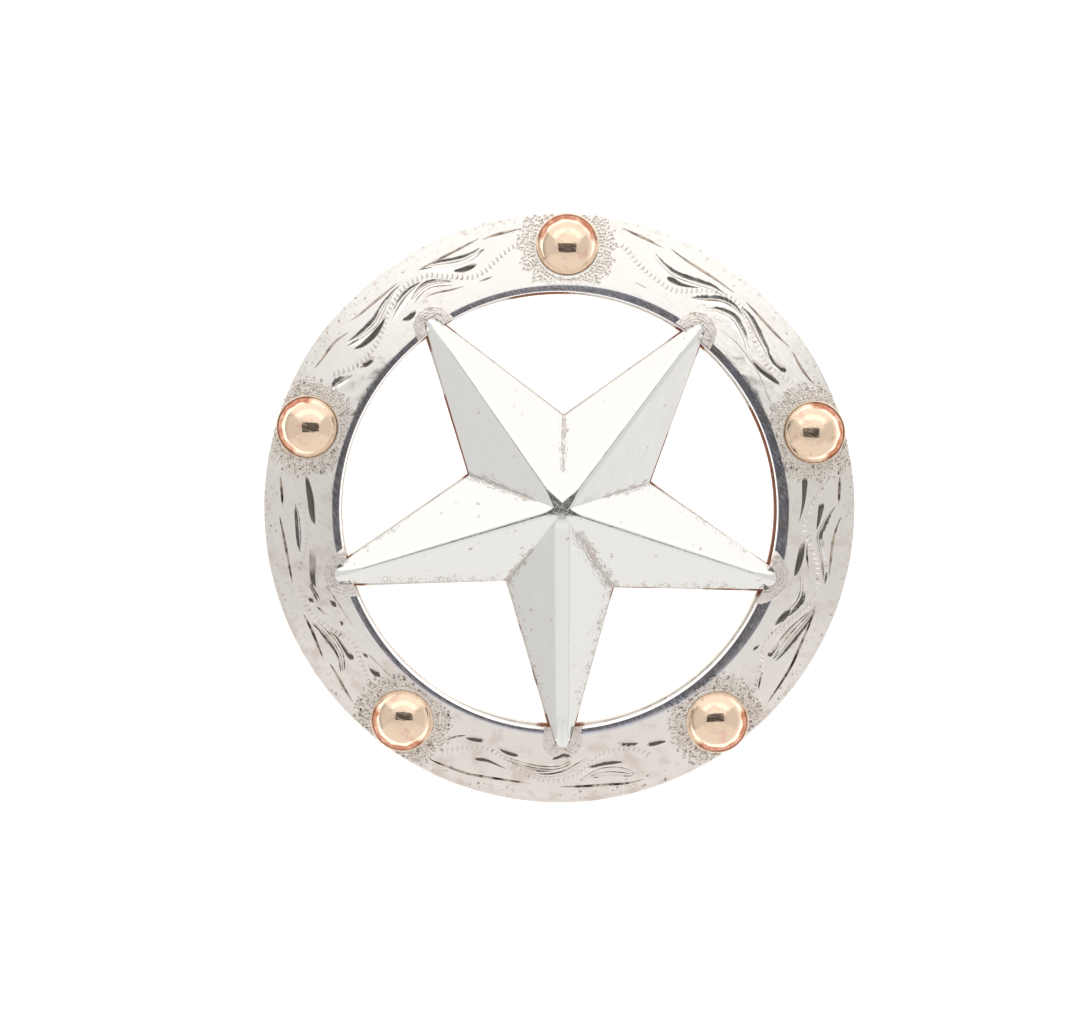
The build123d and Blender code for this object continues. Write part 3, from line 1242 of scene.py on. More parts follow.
@dataclass(frozen=True)
class StarPlan:
    """The star seen from above, with the levels of its peak, tips and notches.

    It also says where the opening under it lies.
    """

    shift_x: float = 0.18
    shift_y: float = 0.05
    opening_radius: float = 16.325
    opening_shift_x: float = -0.045
    opening_shift_y: float = -0.12
    tip_overlap: float = 1.0
    notch_radius: float = 6.94
    tip_round: float = 0.67
    notch_round: float = 0.20
    tip_steps: int = 14
    notch_steps: int = 5
    peak_level: float = 6.56
    tip_level: float = 2.99
    notch_level: float = 2.52

    @property
    def peak(self) -> Vector:
        """Where the ridges meet."""
        return Vector((self.shift_x, self.shift_y, self.peak_level))

    @property
    def opening_shift(self) -> Vector:
        """How far the hand-made opening lies off the middle."""
        return Vector((self.opening_shift_x, self.opening_shift_y, 0))

    def end(self, arm: Arm) -> float:
        """How far an arm's rounded end lies from the star's middle."""
        return self.opening_radius + self.tip_overlap * arm.overlap

    @cache
    def reach(self, arm: Arm) -> float:
        """How far an arm's sharp corner lies from the star's middle.

        Args:
            arm: The arm.

        Returns:
            The distance, found step by step from where the rounded end has to lie.
        """
        fifth = math.pi / len(ARMS)
        width, foot = self.notch_radius * math.sin(fifth), self.notch_radius * math.cos(fifth)
        reach = self.end(arm)
        for _ in range(20):
            half = math.atan2(width, reach - foot)
            reach = self.end(arm) + self.tip_round * arm.blunt * (1 / math.sin(half) - 1)
        return reach

    def at(self, radius: float, angle: float, level: float) -> Vector:
        """A point at a distance and angle from the star's middle."""
        return Vector((self.shift_x, self.shift_y, level)) + polar(radius, angle)

    def tip(self, arm: Arm) -> Vector:
        """Sharp corner of an arm."""
        return self.at(self.reach(arm), arm.tip_angle, self.tip_level)

    def notch(self, arm: Arm) -> Vector:
        """Sharp corner of the notch that follows an arm."""
        return self.at(self.notch_radius * arm.notch_share, arm.notch_angle, self.notch_level)

    def nose(self, arm: Arm) -> Vector:
        """Middle of the rounding at an arm's tip."""
        return self.at(self.end(arm) - self.tip_round * arm.blunt, arm.tip_angle, self.tip_level)

    def corners(self) -> list[Vector]:
        """A tip and a notch in turn."""
        return [corner(arm) for arm in ARMS for corner in (self.tip, self.notch)]

    def outline(self, grow: float = 0.0) -> list[Vector]:
        """The star's outline, its corners rounded.

        Args:
            grow: How far the sides stand off the star's own.

        Returns:
            Points that go round once.
        """
        corners = [corner.to_2d() for corner in self.corners()]
        points = []
        for number, corner in enumerate(corners):
            side = -1 if number % 2 else 1
            blunt = self.tip_round * ARMS[number // 2].blunt
            radius = (self.notch_round if side < 0 else blunt) + grow * side
            back = (corners[number - 1] - corner).normalized()
            ahead = (corners[(number + 1) % len(corners)] - corner).normalized()
            inwards = (back + ahead).normalized()
            half = back.angle(ahead) / 2
            sharp = corner - inwards * (grow * side / math.sin(half))
            middle = sharp + inwards * (radius / math.sin(half))
            start = (sharp + back * (radius / math.tan(half)) - middle).normalized()
            end = (sharp + ahead * (radius / math.tan(half)) - middle).normalized()
            steps = self.notch_steps if side < 0 else self.tip_steps
            points += [middle + start.slerp(end, step / steps) * radius for step in range(steps + 1)]
        return points

    def prism(self, name: str, low: float, high: float, grow: float = 0.0) -> Object:
        """Straight-sided star with rounded corners.

        Args:
            name: The object's name.
            low: Its lower level.
            high: Its upper level.
            grow: How far its sides stand off the star's own.

        Returns:
            The closed solid.
        """
        points = self.outline(grow)
        bpy.ops.mesh.primitive_circle_add(vertices=len(points), fill_type="NGON")
        solid = bpy.context.object
        solid.name = name
        for vertex, point in zip(solid.data.vertices, points):
            vertex.co = (point.x, point.y, low)
        with editing(solid):
            bpy.ops.mesh.select_all(action="SELECT")
            bpy.ops.mesh.extrude_region_move(TRANSFORM_OT_translate={"value": (0, 0, high - low)})
        close_up(solid)
        return solid


# Half width of the worn band on each arm's ridge, at the peak and at the tip, in millimetres.
RIDGES = ((0.36, 0.26), (0.36, 0.26), (0.60, 0.20), (0.22, 0.24), (0.58, 0.36))

# Marks in each valley: their half width in millimetres, the share of the valley that is left
# clean at the peak, and their strength.
VALLEYS = (
    (0.42, 0.30, 1.0), (0.60, 0.20, 1.0), (0.60, 0.40, 1.0), (1.00, 0.16, 1.0), (0.50, 0.36, 0.9),
)

# Arms whose ridges are knocked.
KNOCKED = (2, 4)


@dataclass
class FacetedStar:
    """The star: ten facets whose ridges are worn round, the lower arm's flat."""

    plan: StarPlan
    foot_level: float = 0.92
    top_level: float = 9.0
    overreach: float = 1.2
    passes: int = 10
    fine_edge: float = 0.15
    coarse_edge: float = 0.60
    fine_band: float = 0.75
    fine_until: float = 0.08
    fine_past: float = 0.82
    ridge_spread: float = 1.43
    valley_blend: float = 0.05
    peak_top: float = 6.22
    peak_slope: float = 0.08
    peak_round: float = 0.30
    peak_blend: float = 0.04
    flat_arm: int = 3
    flat_width: float = 0.52
    flat_taper: float = 0.2
    flat_blend: float = 0.07
    side_slope: float = 0.714
    nose_width: float = 0.42
    nose_from: float = 0.80
    nose_drop: float = 0.15
    nose_flat: float = 0.15
    top_depth: float = 0.4
    knock_width: float = 0.25
    foot_width: float = 1.3
    foot_past: float = 0.86

    def roof(self) -> Object:
        """Model the solid under the ten facets.

        Returns:
            The solid, carried on past the star's outline.
        """
        bpy.ops.mesh.primitive_circle_add(vertices=2 * len(ARMS), radius=9.0, fill_type="TRIFAN")
        solid = bpy.context.object
        solid.name = "faceted_star"
        outer = [v for v in solid.data.vertices if v.co.length > 1.0]
        for vertex in solid.data.vertices:
            vertex.co = self.plan.peak
        for vertex, corner in zip(outer, self.plan.corners()):
            vertex.co = self.plan.peak + (corner - self.plan.peak) * self.overreach
        with editing(solid, Part.EDGE):
            pick(solid, Part.EDGE, lambda e: len(e.link_faces) == 1)
            bpy.ops.mesh.extrude_region_move(TRANSFORM_OT_translate={"value": (0, 0, -1)})
            bpy.ops.transform.resize(value=(1, 1, 0), center_override=(0, 0, -1))
            bpy.ops.mesh.edge_face_add()
        close_up(solid)
        return solid

    def ridge_near(self, point: Vector) -> tuple[float, float, int]:
        """The nearest ridge: how far off it is, the share along it, and its arm's number."""
        plan = self.plan
        return min((*apart(point, plan.peak, plan.tip(arm)), n) for n, arm in enumerate(ARMS))

    def valley_near(self, point: Vector) -> tuple[float, float, int]:
        """The nearest valley: how far off it is, the share along it, and its arm's number."""
        plan = self.plan
        return min((*apart(point, plan.peak, plan.notch(arm)), n) for n, arm in enumerate(ARMS))

    def too_long(self, edge: bmesh.types.BMEdge) -> bool:
        """Whether an edge of a facet still has to be divided.

        Args:
            edge: The edge.

        Returns:
            Whether it is too long for its place. Those near the ridges have to be shorter.
        """
        if not any(face.normal.z > 0.3 for face in edge.link_faces):
            return False
        away, share, _ = self.ridge_near((edge.verts[0].co + edge.verts[1].co) / 2)
        fine = away < self.fine_band or share < self.fine_until or share > self.fine_past
        return edge.calc_length() > (self.fine_edge if fine else self.coarse_edge) * 1.4

    def refine(self, star: Object) -> None:
        """Divide the facets into small even triangles, finest along the ridges.

        Args:
            star: The star.
        """
        for _ in range(self.passes):
            with editing(star, Part.EDGE):
                bpy.ops.mesh.select_all(action="SELECT")
                bpy.ops.mesh.quads_convert_to_tris(quad_method="BEAUTY", ngon_method="BEAUTY")
                bpy.ops.mesh.select_all(action="DESELECT")
                if not pick(star, Part.EDGE, self.too_long):
                    break
                bpy.ops.mesh.subdivide(number_cuts=1)

    def facet_level(self, point: Vector, arm: int, notch: int) -> float:
        """Level of a flat facet above or below a point.

        Args:
            point: The point.
            arm: Number of the arm whose ridge is the facet's one side.
            notch: Number of the arm whose notch the valley on its other side runs to.

        Returns:
            The level.
        """
        peak = self.plan.peak
        across = (self.plan.tip(ARMS[arm]) - peak).cross(self.plan.notch(ARMS[notch]) - peak)
        away = point - peak
        return peak.z - (across.x * away.x + across.y * away.y) / across.z

    def roof_level(self, point: Vector, arm: int) -> float:
        """Level of one arm's two facets, with the worn ridge between them.

        Args:
            point: The point under which the level is wanted.
            arm: The arm's number.

        Returns:
            The level.
        """
        peak = self.plan.peak
        _, share = apart(point, peak, self.plan.tip(ARMS[arm]))
        width = RIDGES[arm][0] + (RIDGES[arm][1] - RIDGES[arm][0]) * share
        width += self.nose_width * clip((share - self.nose_from) * 10)
        left, right = self.facet_level(point, arm, arm - 1), self.facet_level(point, arm, arm)
        level = soft_low(left, right, self.ridge_spread * width)
        if arm == self.flat_arm:
            ridge = peak.z + (self.plan.tip_level - peak.z) * share
            width = self.flat_width * (1 - self.flat_taper * share)
            width *= clip((1 - share) * 5) * clip(share * 14)
            level = soft_low(level, ridge - width * self.side_slope, self.flat_blend)
        return level

    def worn_level(self, point: Vector) -> float:
        """Level of the worn star at a point of its top.

        Args:
            point: The point.

        Returns:
            The level, with round ridges, a flattened peak and tips that fall away.
        """
        plan = self.plan
        _, _, arm = self.ridge_near(point)
        _, _, valley = self.valley_near(point)
        other = valley + 1 if valley == arm else valley
        here, beside = self.roof_level(point, arm), self.roof_level(point, other % len(ARMS))
        level = -soft_low(-here, -beside, self.valley_blend)
        away = math.hypot(flat_distance(point, plan.peak), self.peak_round) - self.peak_round
        level = soft_low(level, self.peak_top - self.peak_slope * away, self.peak_blend)
        nose, tip = plan.nose(ARMS[arm]), plan.tip(ARMS[arm])
        beyond = (point - nose).to_2d()
        if beyond.dot((tip - nose).to_2d()) > 0:
            share = beyond.length / (plan.tip_round * ARMS[arm].blunt)
            level -= self.nose_drop * clip(share - self.nose_flat) ** 2
        return level

    def marks(self, point: Vector) -> dict[str, float]:
        """How worn and stained the star is at a place.

        Args:
            point: The place.

        Returns:
            Shares for the valleys, ridges, peak and feet, and how far the place lies along the
            nearest valley and beside it.
        """
        plan = self.plan
        in_valley, run, number = self.valley_near(point)
        width, start, strength = VALLEYS[number]
        on_ridge, along, arm = self.ridge_near(point)
        away = (point - plan.peak).to_2d()
        side = (plan.notch(ARMS[number]) - plan.peak).to_2d().cross(away)
        feet = [(one, other) for n, one in enumerate(ARMS) for other in (one, ARMS[n - 1])]
        foot = min(apart(point, plan.tip(one), plan.notch(other))[0] for one, other in feet)
        return {
            "valley": strength * clip(1 - in_valley / width) * clip((run - start) * 6),
            "run": run * plan.notch_radius + number * 30,
            "beside": math.copysign(in_valley, side),
            "ridge": clip(1 - on_ridge / self.knock_width) * (arm in KNOCKED) * clip(along * 8),
            "peak": clip(1.4 - away.length),
            # Near the outer edges, stronger towards the bottom.
            "foot": (
                clip(1 - foot / self.foot_width) * clip(0.75 - point.y / 12)
                * clip((self.foot_past - along) * 8)
            ),
        }

    def build(self) -> Object:
        """Build, wear, mark and dress the star.

        Returns:
            The finished star.
        """
        star = self.roof()
        star.data.materials.append(FacetSilver("polished_silver").make())
        sides = self.plan.prism("star_sides", self.foot_level, self.top_level)
        combine(star, sides, Joining.KEEP_COMMON)
        self.refine(star)
        for vertex in star.data.vertices:
            if vertex.co.z >= self.plan.notch_level - self.top_depth:
                vertex.co.z = self.worn_level(vertex.co)
        paint(star, self.marks)
        to_frame(star, 40)
        return star


# Length that no cut has, in millimetres.
LONGEST = 12


@dataclass(frozen=True)
class Line:
    """Middle line of a cut, with the half width of the cut at each point, in millimetres."""

    points: list[Vector]
    widths: list[float]
    leans: list[float] | None = None
    wall: float = 0.02

    def touches(self, other: "Line") -> bool:
        """Whether the cut comes too near another to be made with it.

        Args:
            other: The other cut.

        Returns:
            Whether they touch, or nearly do.
        """
        middle, far = self.points[len(self.points) // 2], other.points[len(other.points) // 2]
        return (middle - far).length <= LONGEST and any(
            (a - b).length < (wide + broad) * 1.15 + self.wall
            for a, wide in zip(self.points, self.widths)
            for b, broad in zip(other.points, other.widths)
        )


@dataclass(frozen=True)
class Graver:
    """How one kind of cut is made.

    The section is given for a half width of 1, its height measured from the rim's face.
    """

    half_width: float
    section: Sequence[Point2]


VEE = ((-1.0, 0.5), (1.0, 0.5), (0.35, -0.85))
SHALLOW_VEE = ((-1.0, 0.4), (1.0, 0.4), (0.0, -0.45))
FLAT = (
    (-1.05, 0.7), (1.05, 0.7), (0.96, -0.16), (0.78, -0.30), (0.3, -0.36), (-0.3, -0.37),
    (-0.78, -0.31), (-0.96, -0.16),
)
SCOOP = (
    (-1.0, 0.25), (1.0, 0.25), (0.85, 0.0), (0.55, -0.10), (0.2, -0.15), (-0.2, -0.15),
    (-0.55, -0.10), (-0.85, 0.0),
)

# The kinds in the order in which they are cut. The ropes come before all the others.
GRAVERS = {
    Cut.ROPE: Graver(0.110, VEE),
    Cut.BRIGHT: Graver(0.300, FLAT),
    Cut.LEAF: Graver(0.170, VEE),
    Cut.TROUGH: Graver(0.125, VEE),
    Cut.ARC: Graver(0.120, VEE),
    Cut.BORDER: Graver(0.165, VEE),
    Cut.MARGIN: Graver(0.070, SHALLOW_VEE),
}


def sweep(name: str, lines: Sequence[Line], section: Sequence[Point2]) -> Object:
    """Cutters of one section along several lines, as one object of closed bars.

    Args:
        name: The object's name.
        lines: Their middle lines.
        section: The section, for a half width of 1.

    Returns:
        The cutters.
    """
    outline = bpy.data.curves.new(name + "_section", "CURVE")
    outline.dimensions = "2D"
    loop = outline.splines.new("POLY")
    loop.points.add(len(section) - 1)
    for point, (x, y) in zip(loop.points, section):
        point.co = (x, y, 0, 1)
    loop.use_cyclic_u = True
    profile = link(name + "_section", outline)
    curve = bpy.data.curves.new(name, "CURVE")
    curve.dimensions = "3D"
    curve.bevel_mode = "OBJECT"
    curve.bevel_object = profile
    curve.use_fill_caps = True
    curve.twist_mode = "Z_UP"
    for line in lines:
        spline = curve.splines.new("POLY")
        spline.points.add(len(line.points) - 1)
        leans = line.leans or [0.0] * len(line.points)
        for point, where, width, lean in zip(spline.points, line.points, line.widths, leans):
            point.co = (*where, 1)
            point.radius = width
            point.tilt = lean
    cutters = link(name, curve)
    take(cutters)
    bpy.ops.object.convert(target="MESH")
    bpy.data.objects.remove(profile)
    close_up(cutters, 1e-5)
    return cutters


def layers(lines: Sequence[Line]) -> list[list[Line]]:
    """Share lines out over layers in which none touches another.

    Args:
        lines: The lines.

    Returns:
        The layers.
    """
    found: list[list[Line]] = []
    for line in lines:
        for layer in found:
            if not any(line.touches(other) for other in layer):
                layer.append(line)
                break
        else:
            found.append([line])
    return found


# Pitted stretches of the margin: middle and half width in degrees, and strength.
MARGIN_WEAR = (
    (148.0, 14.0, 0.9), (180.0, 12.0, 0.35), (197.0, 10.0, 0.3), (226.0, 14.0, 0.8),
    (254.0, 10.0, 0.5), (282.0, 12.0, 0.7), (306.0, 12.0, 0.7), (330.0, 12.0, 0.45),
    (2.0, 12.0, 0.35), (24.0, 9.0, 0.5), (66.0, 12.0, 0.15), (98.0, 10.0, 0.3),
)

# How far the ledge's outer edge stands out of its true circle: azimuth in degrees, millimetres.
CREST = (
    (0.0, 0.17), (20.0, 0.0), (40.0, -0.13), (70.0, -0.13), (95.0, -0.24), (135.0, -0.21),
    (150.0, -0.20), (180.0, 0.0), (215.0, 0.0), (250.0, -0.07), (290.0, 0.08), (310.0, 0.22),
    (335.0, 0.30), (360.0, 0.17),
)


@dataclass
class EngravedRim:
    """The rim: a turned ring with solder collars, seats, engraving and stippled grounds."""

    plan: StarPlan
    crest_radius: float = 16.905
    outer_radius: float = 22.165
    foot_level: float = 0.92
    crest_level: float = 2.95
    edge_level: float = 1.52
    wall_draft: float = 0.03
    face_bulge: float = 0.07
    face_steps: int = 26
    edge_round: float = 0.25
    crest_round: float = 0.035
    ledge_round: float = 0.07
    ledge_step: float = 0.004
    steps: int = 720
    uneven_reach: float = 1.2
    uneven_level: float = 1.2
    seat_radius: float = 2.37
    collar_radius: float = 1.54
    collar_hole: float = 0.10
    collar_width: float = 0.95
    collar_rise: float = 0.10
    collar_depth: float = 0.5
    collar_lean: float = 12.0
    collar_steps: int = 30
    ripple: float = 0.008
    ripples: float = 6.5
    collar_foot: float = 0.25
    collar_sink: float = 0.02
    roughening: float = 0.028
    line_gap: float = 0.20
    line_step: float = 0.20
    line_slimness: float = 0.2
    end_share: float = 0.10
    blunt_share: float = 0.55
    scoop_width: float = 0.40
    rope_pitch: float = 0.38
    rope_width: float = 0.32
    rope_bend: float = 0.15
    rope_slant: float = 0.05
    dot_gap: float = 0.25
    dot_radius: float = 0.15
    dot_tilt: float = 15.0
    dot_lift: float = 0.045
    dot_inside: float = 0.12
    dot_outside: float = 0.24
    margin_dots: int = 900
    margin_start: float = 0.30
    least_wear: float = 0.05
    halo_reach: float = 1.35
    solder_reach: float = 1.1
    margin_radius: float = 20.7
    dull_azimuth: float = 90.0
    dull_width: float = 32.0

    def face_level(self, radius: float) -> float:
        """Height of the face.

        Args:
            radius: Distance from the middle.

        Returns:
            The level, a little over the straight line from the crest to the edge.
        """
        share = (radius - self.crest_radius) / (self.outer_radius - self.crest_radius)
        chord = self.crest_level + (self.edge_level - self.crest_level) * share
        return chord + 4 * self.face_bulge * share * (1 - share)

    def section(self) -> list[Point2]:
        """Half section of the ring.

        Returns:
            Radii and heights, from the foot of the opening over the face to the outer foot.
        """
        opening, crest, level = self.plan.opening_radius, self.crest_radius, self.crest_level
        soft = self.ledge_round
        points = [
            (opening - self.wall_draft, self.foot_level),
            (opening, level - soft),
            (opening + soft * 0.25, level - soft * 0.4),
            (opening + soft * 0.85, level - 0.005),
            (crest - self.crest_round, level - 0.002),
        ]
        start, end = crest + self.crest_round, self.outer_radius - self.edge_round
        for number in range(self.face_steps + 1):
            radius = start + (end - crest - self.crest_round) * number / self.face_steps
            points.append((radius, self.face_level(radius)))
        centre = self.face_level(end) - self.edge_round
        for angle in (72, 54, 36, 18, 0):
            corner = polar(self.edge_round, angle)
            points.append((end + corner.x, centre + corner.y))
        points.append((self.outer_radius, self.foot_level))
        return points

    def ring(self, face: Material, ledge: Material) -> Object:
        """Turn the plain ring.

        Args:
            face: Finish of all but the ledge.
            ledge: Finish of the ledge.

        Returns:
            The ring, as uneven as the hand-made one.
        """
        ring = turned("engraved_rim", self.section(), self.steps)
        ring.data.materials.append(face)
        ring.data.materials.append(ledge)
        for polygon in ring.data.polygons:
            if polygon.center.to_2d().length < self.crest_radius and polygon.normal.z > 0.4:
                polygon.material_index = 1
        for vertex in ring.data.vertices:
            vertex.co = self.uneven(vertex.co)
        return ring

    def crest_shift(self, azimuth: float) -> float:
        """How far the ledge's outer edge stands out of its circle.

        Args:
            azimuth: Where, in degrees from 0 to 360.

        Returns:
            The distance, negative where it stands inwards.
        """
        for (start, first), (end, second) in zip(CREST, CREST[1:]):
            if azimuth <= end:
                share = (azimuth - start) / (end - start)
                return first + (second - first) * share * share * (3 - 2 * share)
        return CREST[-1][1]

    def uneven(self, point: Vector) -> Vector:
        """Where a point of the true ring lies on the hand-made one.

        The opening stands off the middle, and the ledge is sanded down more on one side.

        Args:
            point: The point of the true ring.

        Returns:
            The point of the hand-made ring.
        """
        radius, azimuth = point.to_2d().length, bearing(point)
        swing = self.crest_shift(azimuth)
        if radius < self.crest_radius - 0.1:
            shift = self.plan.opening_shift
            if point.z > self.crest_level - 0.2:
                shift.z = self.face_level(self.crest_radius + swing) - self.crest_level
            return point + shift
        end = self.crest_radius + self.uneven_reach
        if radius > end or point.z < self.uneven_level:
            return point
        share = clip((end - radius) / (end - self.crest_radius - 0.04))
        moved = radius + swing * share
        step = self.ledge_step if radius < self.crest_radius else 0.0
        return polar(moved, azimuth, self.face_level(moved) - step)

    def collars(self, finish: Material) -> Object:
        """Rippled mounds of solder round the star's tips.

        Args:
            finish: Their finish.

        Returns:
            The mounds, cut off at the opening.
        """
        places = []
        for arm in ARMS:
            nose = self.plan.nose(arm)
            azimuth = math.atan2(nose.y, nose.x)
            slope = Matrix.Translation((self.crest_radius, 0, self.crest_level))
            slope = slope @ Matrix.Rotation(self.collar_lean * DEGREE, 4, "Y")
            back = Matrix.Translation((nose.to_2d().length - self.crest_radius, 0, 0))
            wide = (self.plan.tip_round * arm.blunt + self.collar_width) / self.collar_radius
            size = Matrix.Diagonal((wide, wide, 1, 1))
            places.append(Matrix.Rotation(azimuth, 4, "Z") @ slope @ back @ size)
        hole, rim = self.collar_hole, self.collar_radius
        foot, depth = rim + self.collar_foot, self.collar_depth
        section = [(hole, -depth), (foot, -depth), (foot - 0.03, -0.16)]
        for number in range(self.collar_steps + 1):
            share = 1 - number / self.collar_steps
            ripple = self.ripple * math.cos(share * 2 * math.pi * self.ripples)
            level = self.collar_rise * (1 - share**4) + ripple - self.collar_sink
            section.append((hole + (rim - hole) * share, level))
        mound = turned("mound", section, 72)
        with editing(mound):
            pick(mound, Part.VERT, lambda v: v.co.z > -0.1)
            bpy.ops.transform.vertex_random(offset=self.roughening, uniform=0.0, seed=4)
        mound.data.materials.append(finish)
        mounds = scatter("collars", mound, places)
        bpy.ops.mesh.primitive_cylinder_add(
            vertices=360, radius=self.plan.opening_radius, depth=8, location=(0, 0, 3)
        )
        combine(mounds, bpy.context.object, Joining.CUT)
        return mounds

    def dome_seats(self) -> Object:
        """Model the round pockets for the domes.

        Returns:
            The pockets, standing out of the face.
        """
        bpy.ops.mesh.primitive_cylinder_add(
            vertices=96, radius=self.seat_radius, depth=3, location=(0, 0, 1.5)
        )
        pocket = bpy.context.object
        take(pocket)
        bpy.ops.object.transform_apply()
        return scatter("dome_seats", pocket, [dome.matrix() for dome in DOMES])

    def line(self, points: Sequence[Vector], half: float, blunt: Blunt) -> Line:
        """A line with its widths.

        Args:
            points: The points that it passes.
            half: Its greatest half width. A short line is made thinner.
            blunt: Which end is blunt. The others are pointed.

        Returns:
            The line.
        """
        fine = smooth_line(points, self.line_step)
        half = min(half, self.line_slimness * (points[-1] - points[0]).length)
        widths = []
        for number in range(len(fine)):
            share = number / (len(fine) - 1)
            if blunt is Blunt.END:
                share = 1 - share
            if blunt is Blunt.NONE:
                width = math.sin(math.pi * share) ** 0.55 if 0 < share < 1 else 0
            else:
                width = min(1.0, self.blunt_share + share * 4) * (1 - share) ** 0.8
            widths.append(half * max(self.end_share, width))
        return Line(fine, widths)

    def leans(self, points: Sequence[Vector]) -> list[float]:
        """How far a cut's section turns, to lie square to the face.

        Args:
            points: The cut's points.

        Returns:
            The turn at each point.
        """
        found = []
        last = len(points) - 1
        for number, point in enumerate(points):
            along = (points[min(number + 1, last)] - points[max(number - 1, 0)]).normalized()
            radius = point.to_2d().length
            fall = (self.face_level(radius + 0.1) - self.face_level(radius - 0.1)) / 0.2
            square = Vector((-fall * point.x / radius, -fall * point.y / radius, 1)).normalized()
            up = Vector((0, 0, 1))
            up = (up - along * up.dot(along)).normalized()
            found.append(math.atan2(up.cross(square).dot(along), up.dot(square)))
        return found

    def stroke_points(self, stroke: Stroke, shift: float) -> list[Vector]:
        """A stroke's points on the face.

        Args:
            stroke: The stroke.
            shift: How far it is moved inwards.

        Returns:
            The points.
        """
        start = SECTOR_ANGLES[stroke.sector]
        places = [(self.outer_radius - depth - shift, start - angle) for angle, depth in stroke.points]
        return [polar(radius, angle, self.face_level(radius)) for radius, angle in places]

    def scoops(self) -> list[Line]:
        """Find the wide shallow hollows under the troughs and leaves.

        Returns:
            Their lines. The hollows make the cuts shade softly.
        """
        found = []
        for stroke in STROKES:
            if stroke.cut in (Cut.TROUGH, Cut.LEAF) or stroke.lines > 1:
                points = self.stroke_points(stroke, (stroke.lines - 1) / 2 * self.line_gap)
                line = self.line(points, self.scoop_width, Blunt.NONE)
                found.append(Line(line.points, line.widths, self.leans(line.points)))
        return found

    def crescents(self) -> list[Line]:
        """Find the short bent cuts that make up the ropes.

        Returns:
            Their lines.
        """
        found = []
        shape = ((-1.0, 0.35), (-0.5, 0.85), (0.0, 1.0), (0.5, 0.85), (1.0, 0.35))
        widths = [GRAVERS[Cut.ROPE].half_width * width for _, width in shape]
        for stroke in STROKES:
            if stroke.cut is not Cut.ROPE:
                continue
            beads = smooth_line(self.stroke_points(stroke, 0.0), self.rope_pitch)
            for before, here, after in zip(beads, beads[1:], beads[2:]):
                along = (after - before).normalized()
                out = Vector((0, 0, 1)).cross(along)
                points = []
                for share, _ in shape:
                    bend = self.rope_bend * (1 - share * share) + share * self.rope_slant
                    points.append(here + out * (share * self.rope_width) + along * bend)
                found.append(Line(points, widths))
        return found

    def strokes(self, cut: Cut) -> list[Line]:
        """Find the lines of one kind of cut.

        Args:
            cut: The kind.

        Returns:
            The lines, those of a stroke with several side by side.
        """
        if cut is Cut.ROPE:
            return self.crescents()
        found = []
        for stroke in STROKES:
            for number in range(stroke.lines if stroke.cut is cut else 0):
                points = self.stroke_points(stroke, number * self.line_gap)
                found.append(self.line(points, GRAVERS[cut].half_width, stroke.blunt))
        return found

    def engrave(self, ring: Object, finishes: dict[Cut, Material], face: Material) -> None:
        """Cut the hollows first, then every stroke, kind by kind.

        Args:
            ring: The ring.
            finishes: The finish of each kind of cut.
            face: The finish of the hollows.
        """
        jobs = [("scoop", self.scoops(), SCOOP, face)]
        for cut, graver in GRAVERS.items():
            jobs.append((cut.value, self.strokes(cut), graver.section, finishes[cut]))
        for name, lines, section, finish in jobs:
            sets = layers(lines)
            for layer in sets:
                cutters = sweep("cut_" + name, layer, section)
                cutters.data.materials.append(finish)
                combine(ring, cutters, Joining.CUT)
            log.info("cut %s: %d layers", name, len(sets))

    def punch(self, point: Vector, size: float, chance: random.Random) -> list[Matrix]:
        """Place one mark of the punch.

        Args:
            point: Where it goes, seen from above.
            size: Its size, as a share of the punch's own.
            chance: What turns and stretches it.

        Returns:
            Its place, or nothing where the face ends.
        """
        radius = point.to_2d().length
        if not self.crest_radius + self.dot_inside < radius < self.outer_radius - self.dot_outside:
            return []
        azimuth = math.atan2(point.y, point.x)
        tilt = Matrix.Rotation(azimuth, 4, "Z") @ Matrix.Rotation(self.dot_tilt * DEGREE, 4, "Y")
        spin = Matrix.Rotation(chance.uniform(0, 6), 4, "Z")
        level = self.face_level(radius) + self.dot_lift * size
        where = Matrix.Translation(polar(radius, azimuth / DEGREE, level))
        stretch = Matrix.Diagonal((chance.uniform(0.6, 0.95), chance.uniform(1.0, 1.45), 1, 1))
        return [where @ tilt @ spin @ stretch @ Matrix.Scale(size, 4)]

    def punch_places(self) -> list[list[Matrix]]:
        """Find where the punch marks go: rows round the domes, and loose ones in the margin.

        Returns:
            The places in three sets, in which none touches its neighbours.
        """
        chance = random.Random(5)
        sets: list[list[Matrix]] = [[], [], []]
        rows = ((0.17, 1), (0.40, 1), (0.63, 1), (0.86, 1), (1.09, 0.75), (1.32, 0.45))
        for dome in DOMES:
            for row, (reach, share) in enumerate(rows):
                radius = self.seat_radius + reach
                count = round(2 * math.pi * radius / self.dot_gap / 3) * 3
                start = chance.uniform(0, 6)
                for number in range(count):
                    angle = 360 * number / count + start + chance.uniform(-1.2, 1.2)
                    away = radius + chance.uniform(-0.06, 0.06) * (row > 0)
                    if share == 1 or chance.random() < share:
                        size = 1.0 if row == 0 else chance.uniform(0.7, 1.05)
                        point = dome.middle() + polar(away, angle)
                        sets[(number + row) % 3] += self.punch(point, size, chance)
        for number in range(self.margin_dots):
            angle = chance.uniform(0, 360)
            point = polar(self.outer_radius - self.margin_start - chance.random() ** 1.5, angle)
            if chance.random() < self.margin_wear(point):
                sets[number % 3] += self.punch(point, chance.uniform(0.3, 0.7), chance)
        return sets

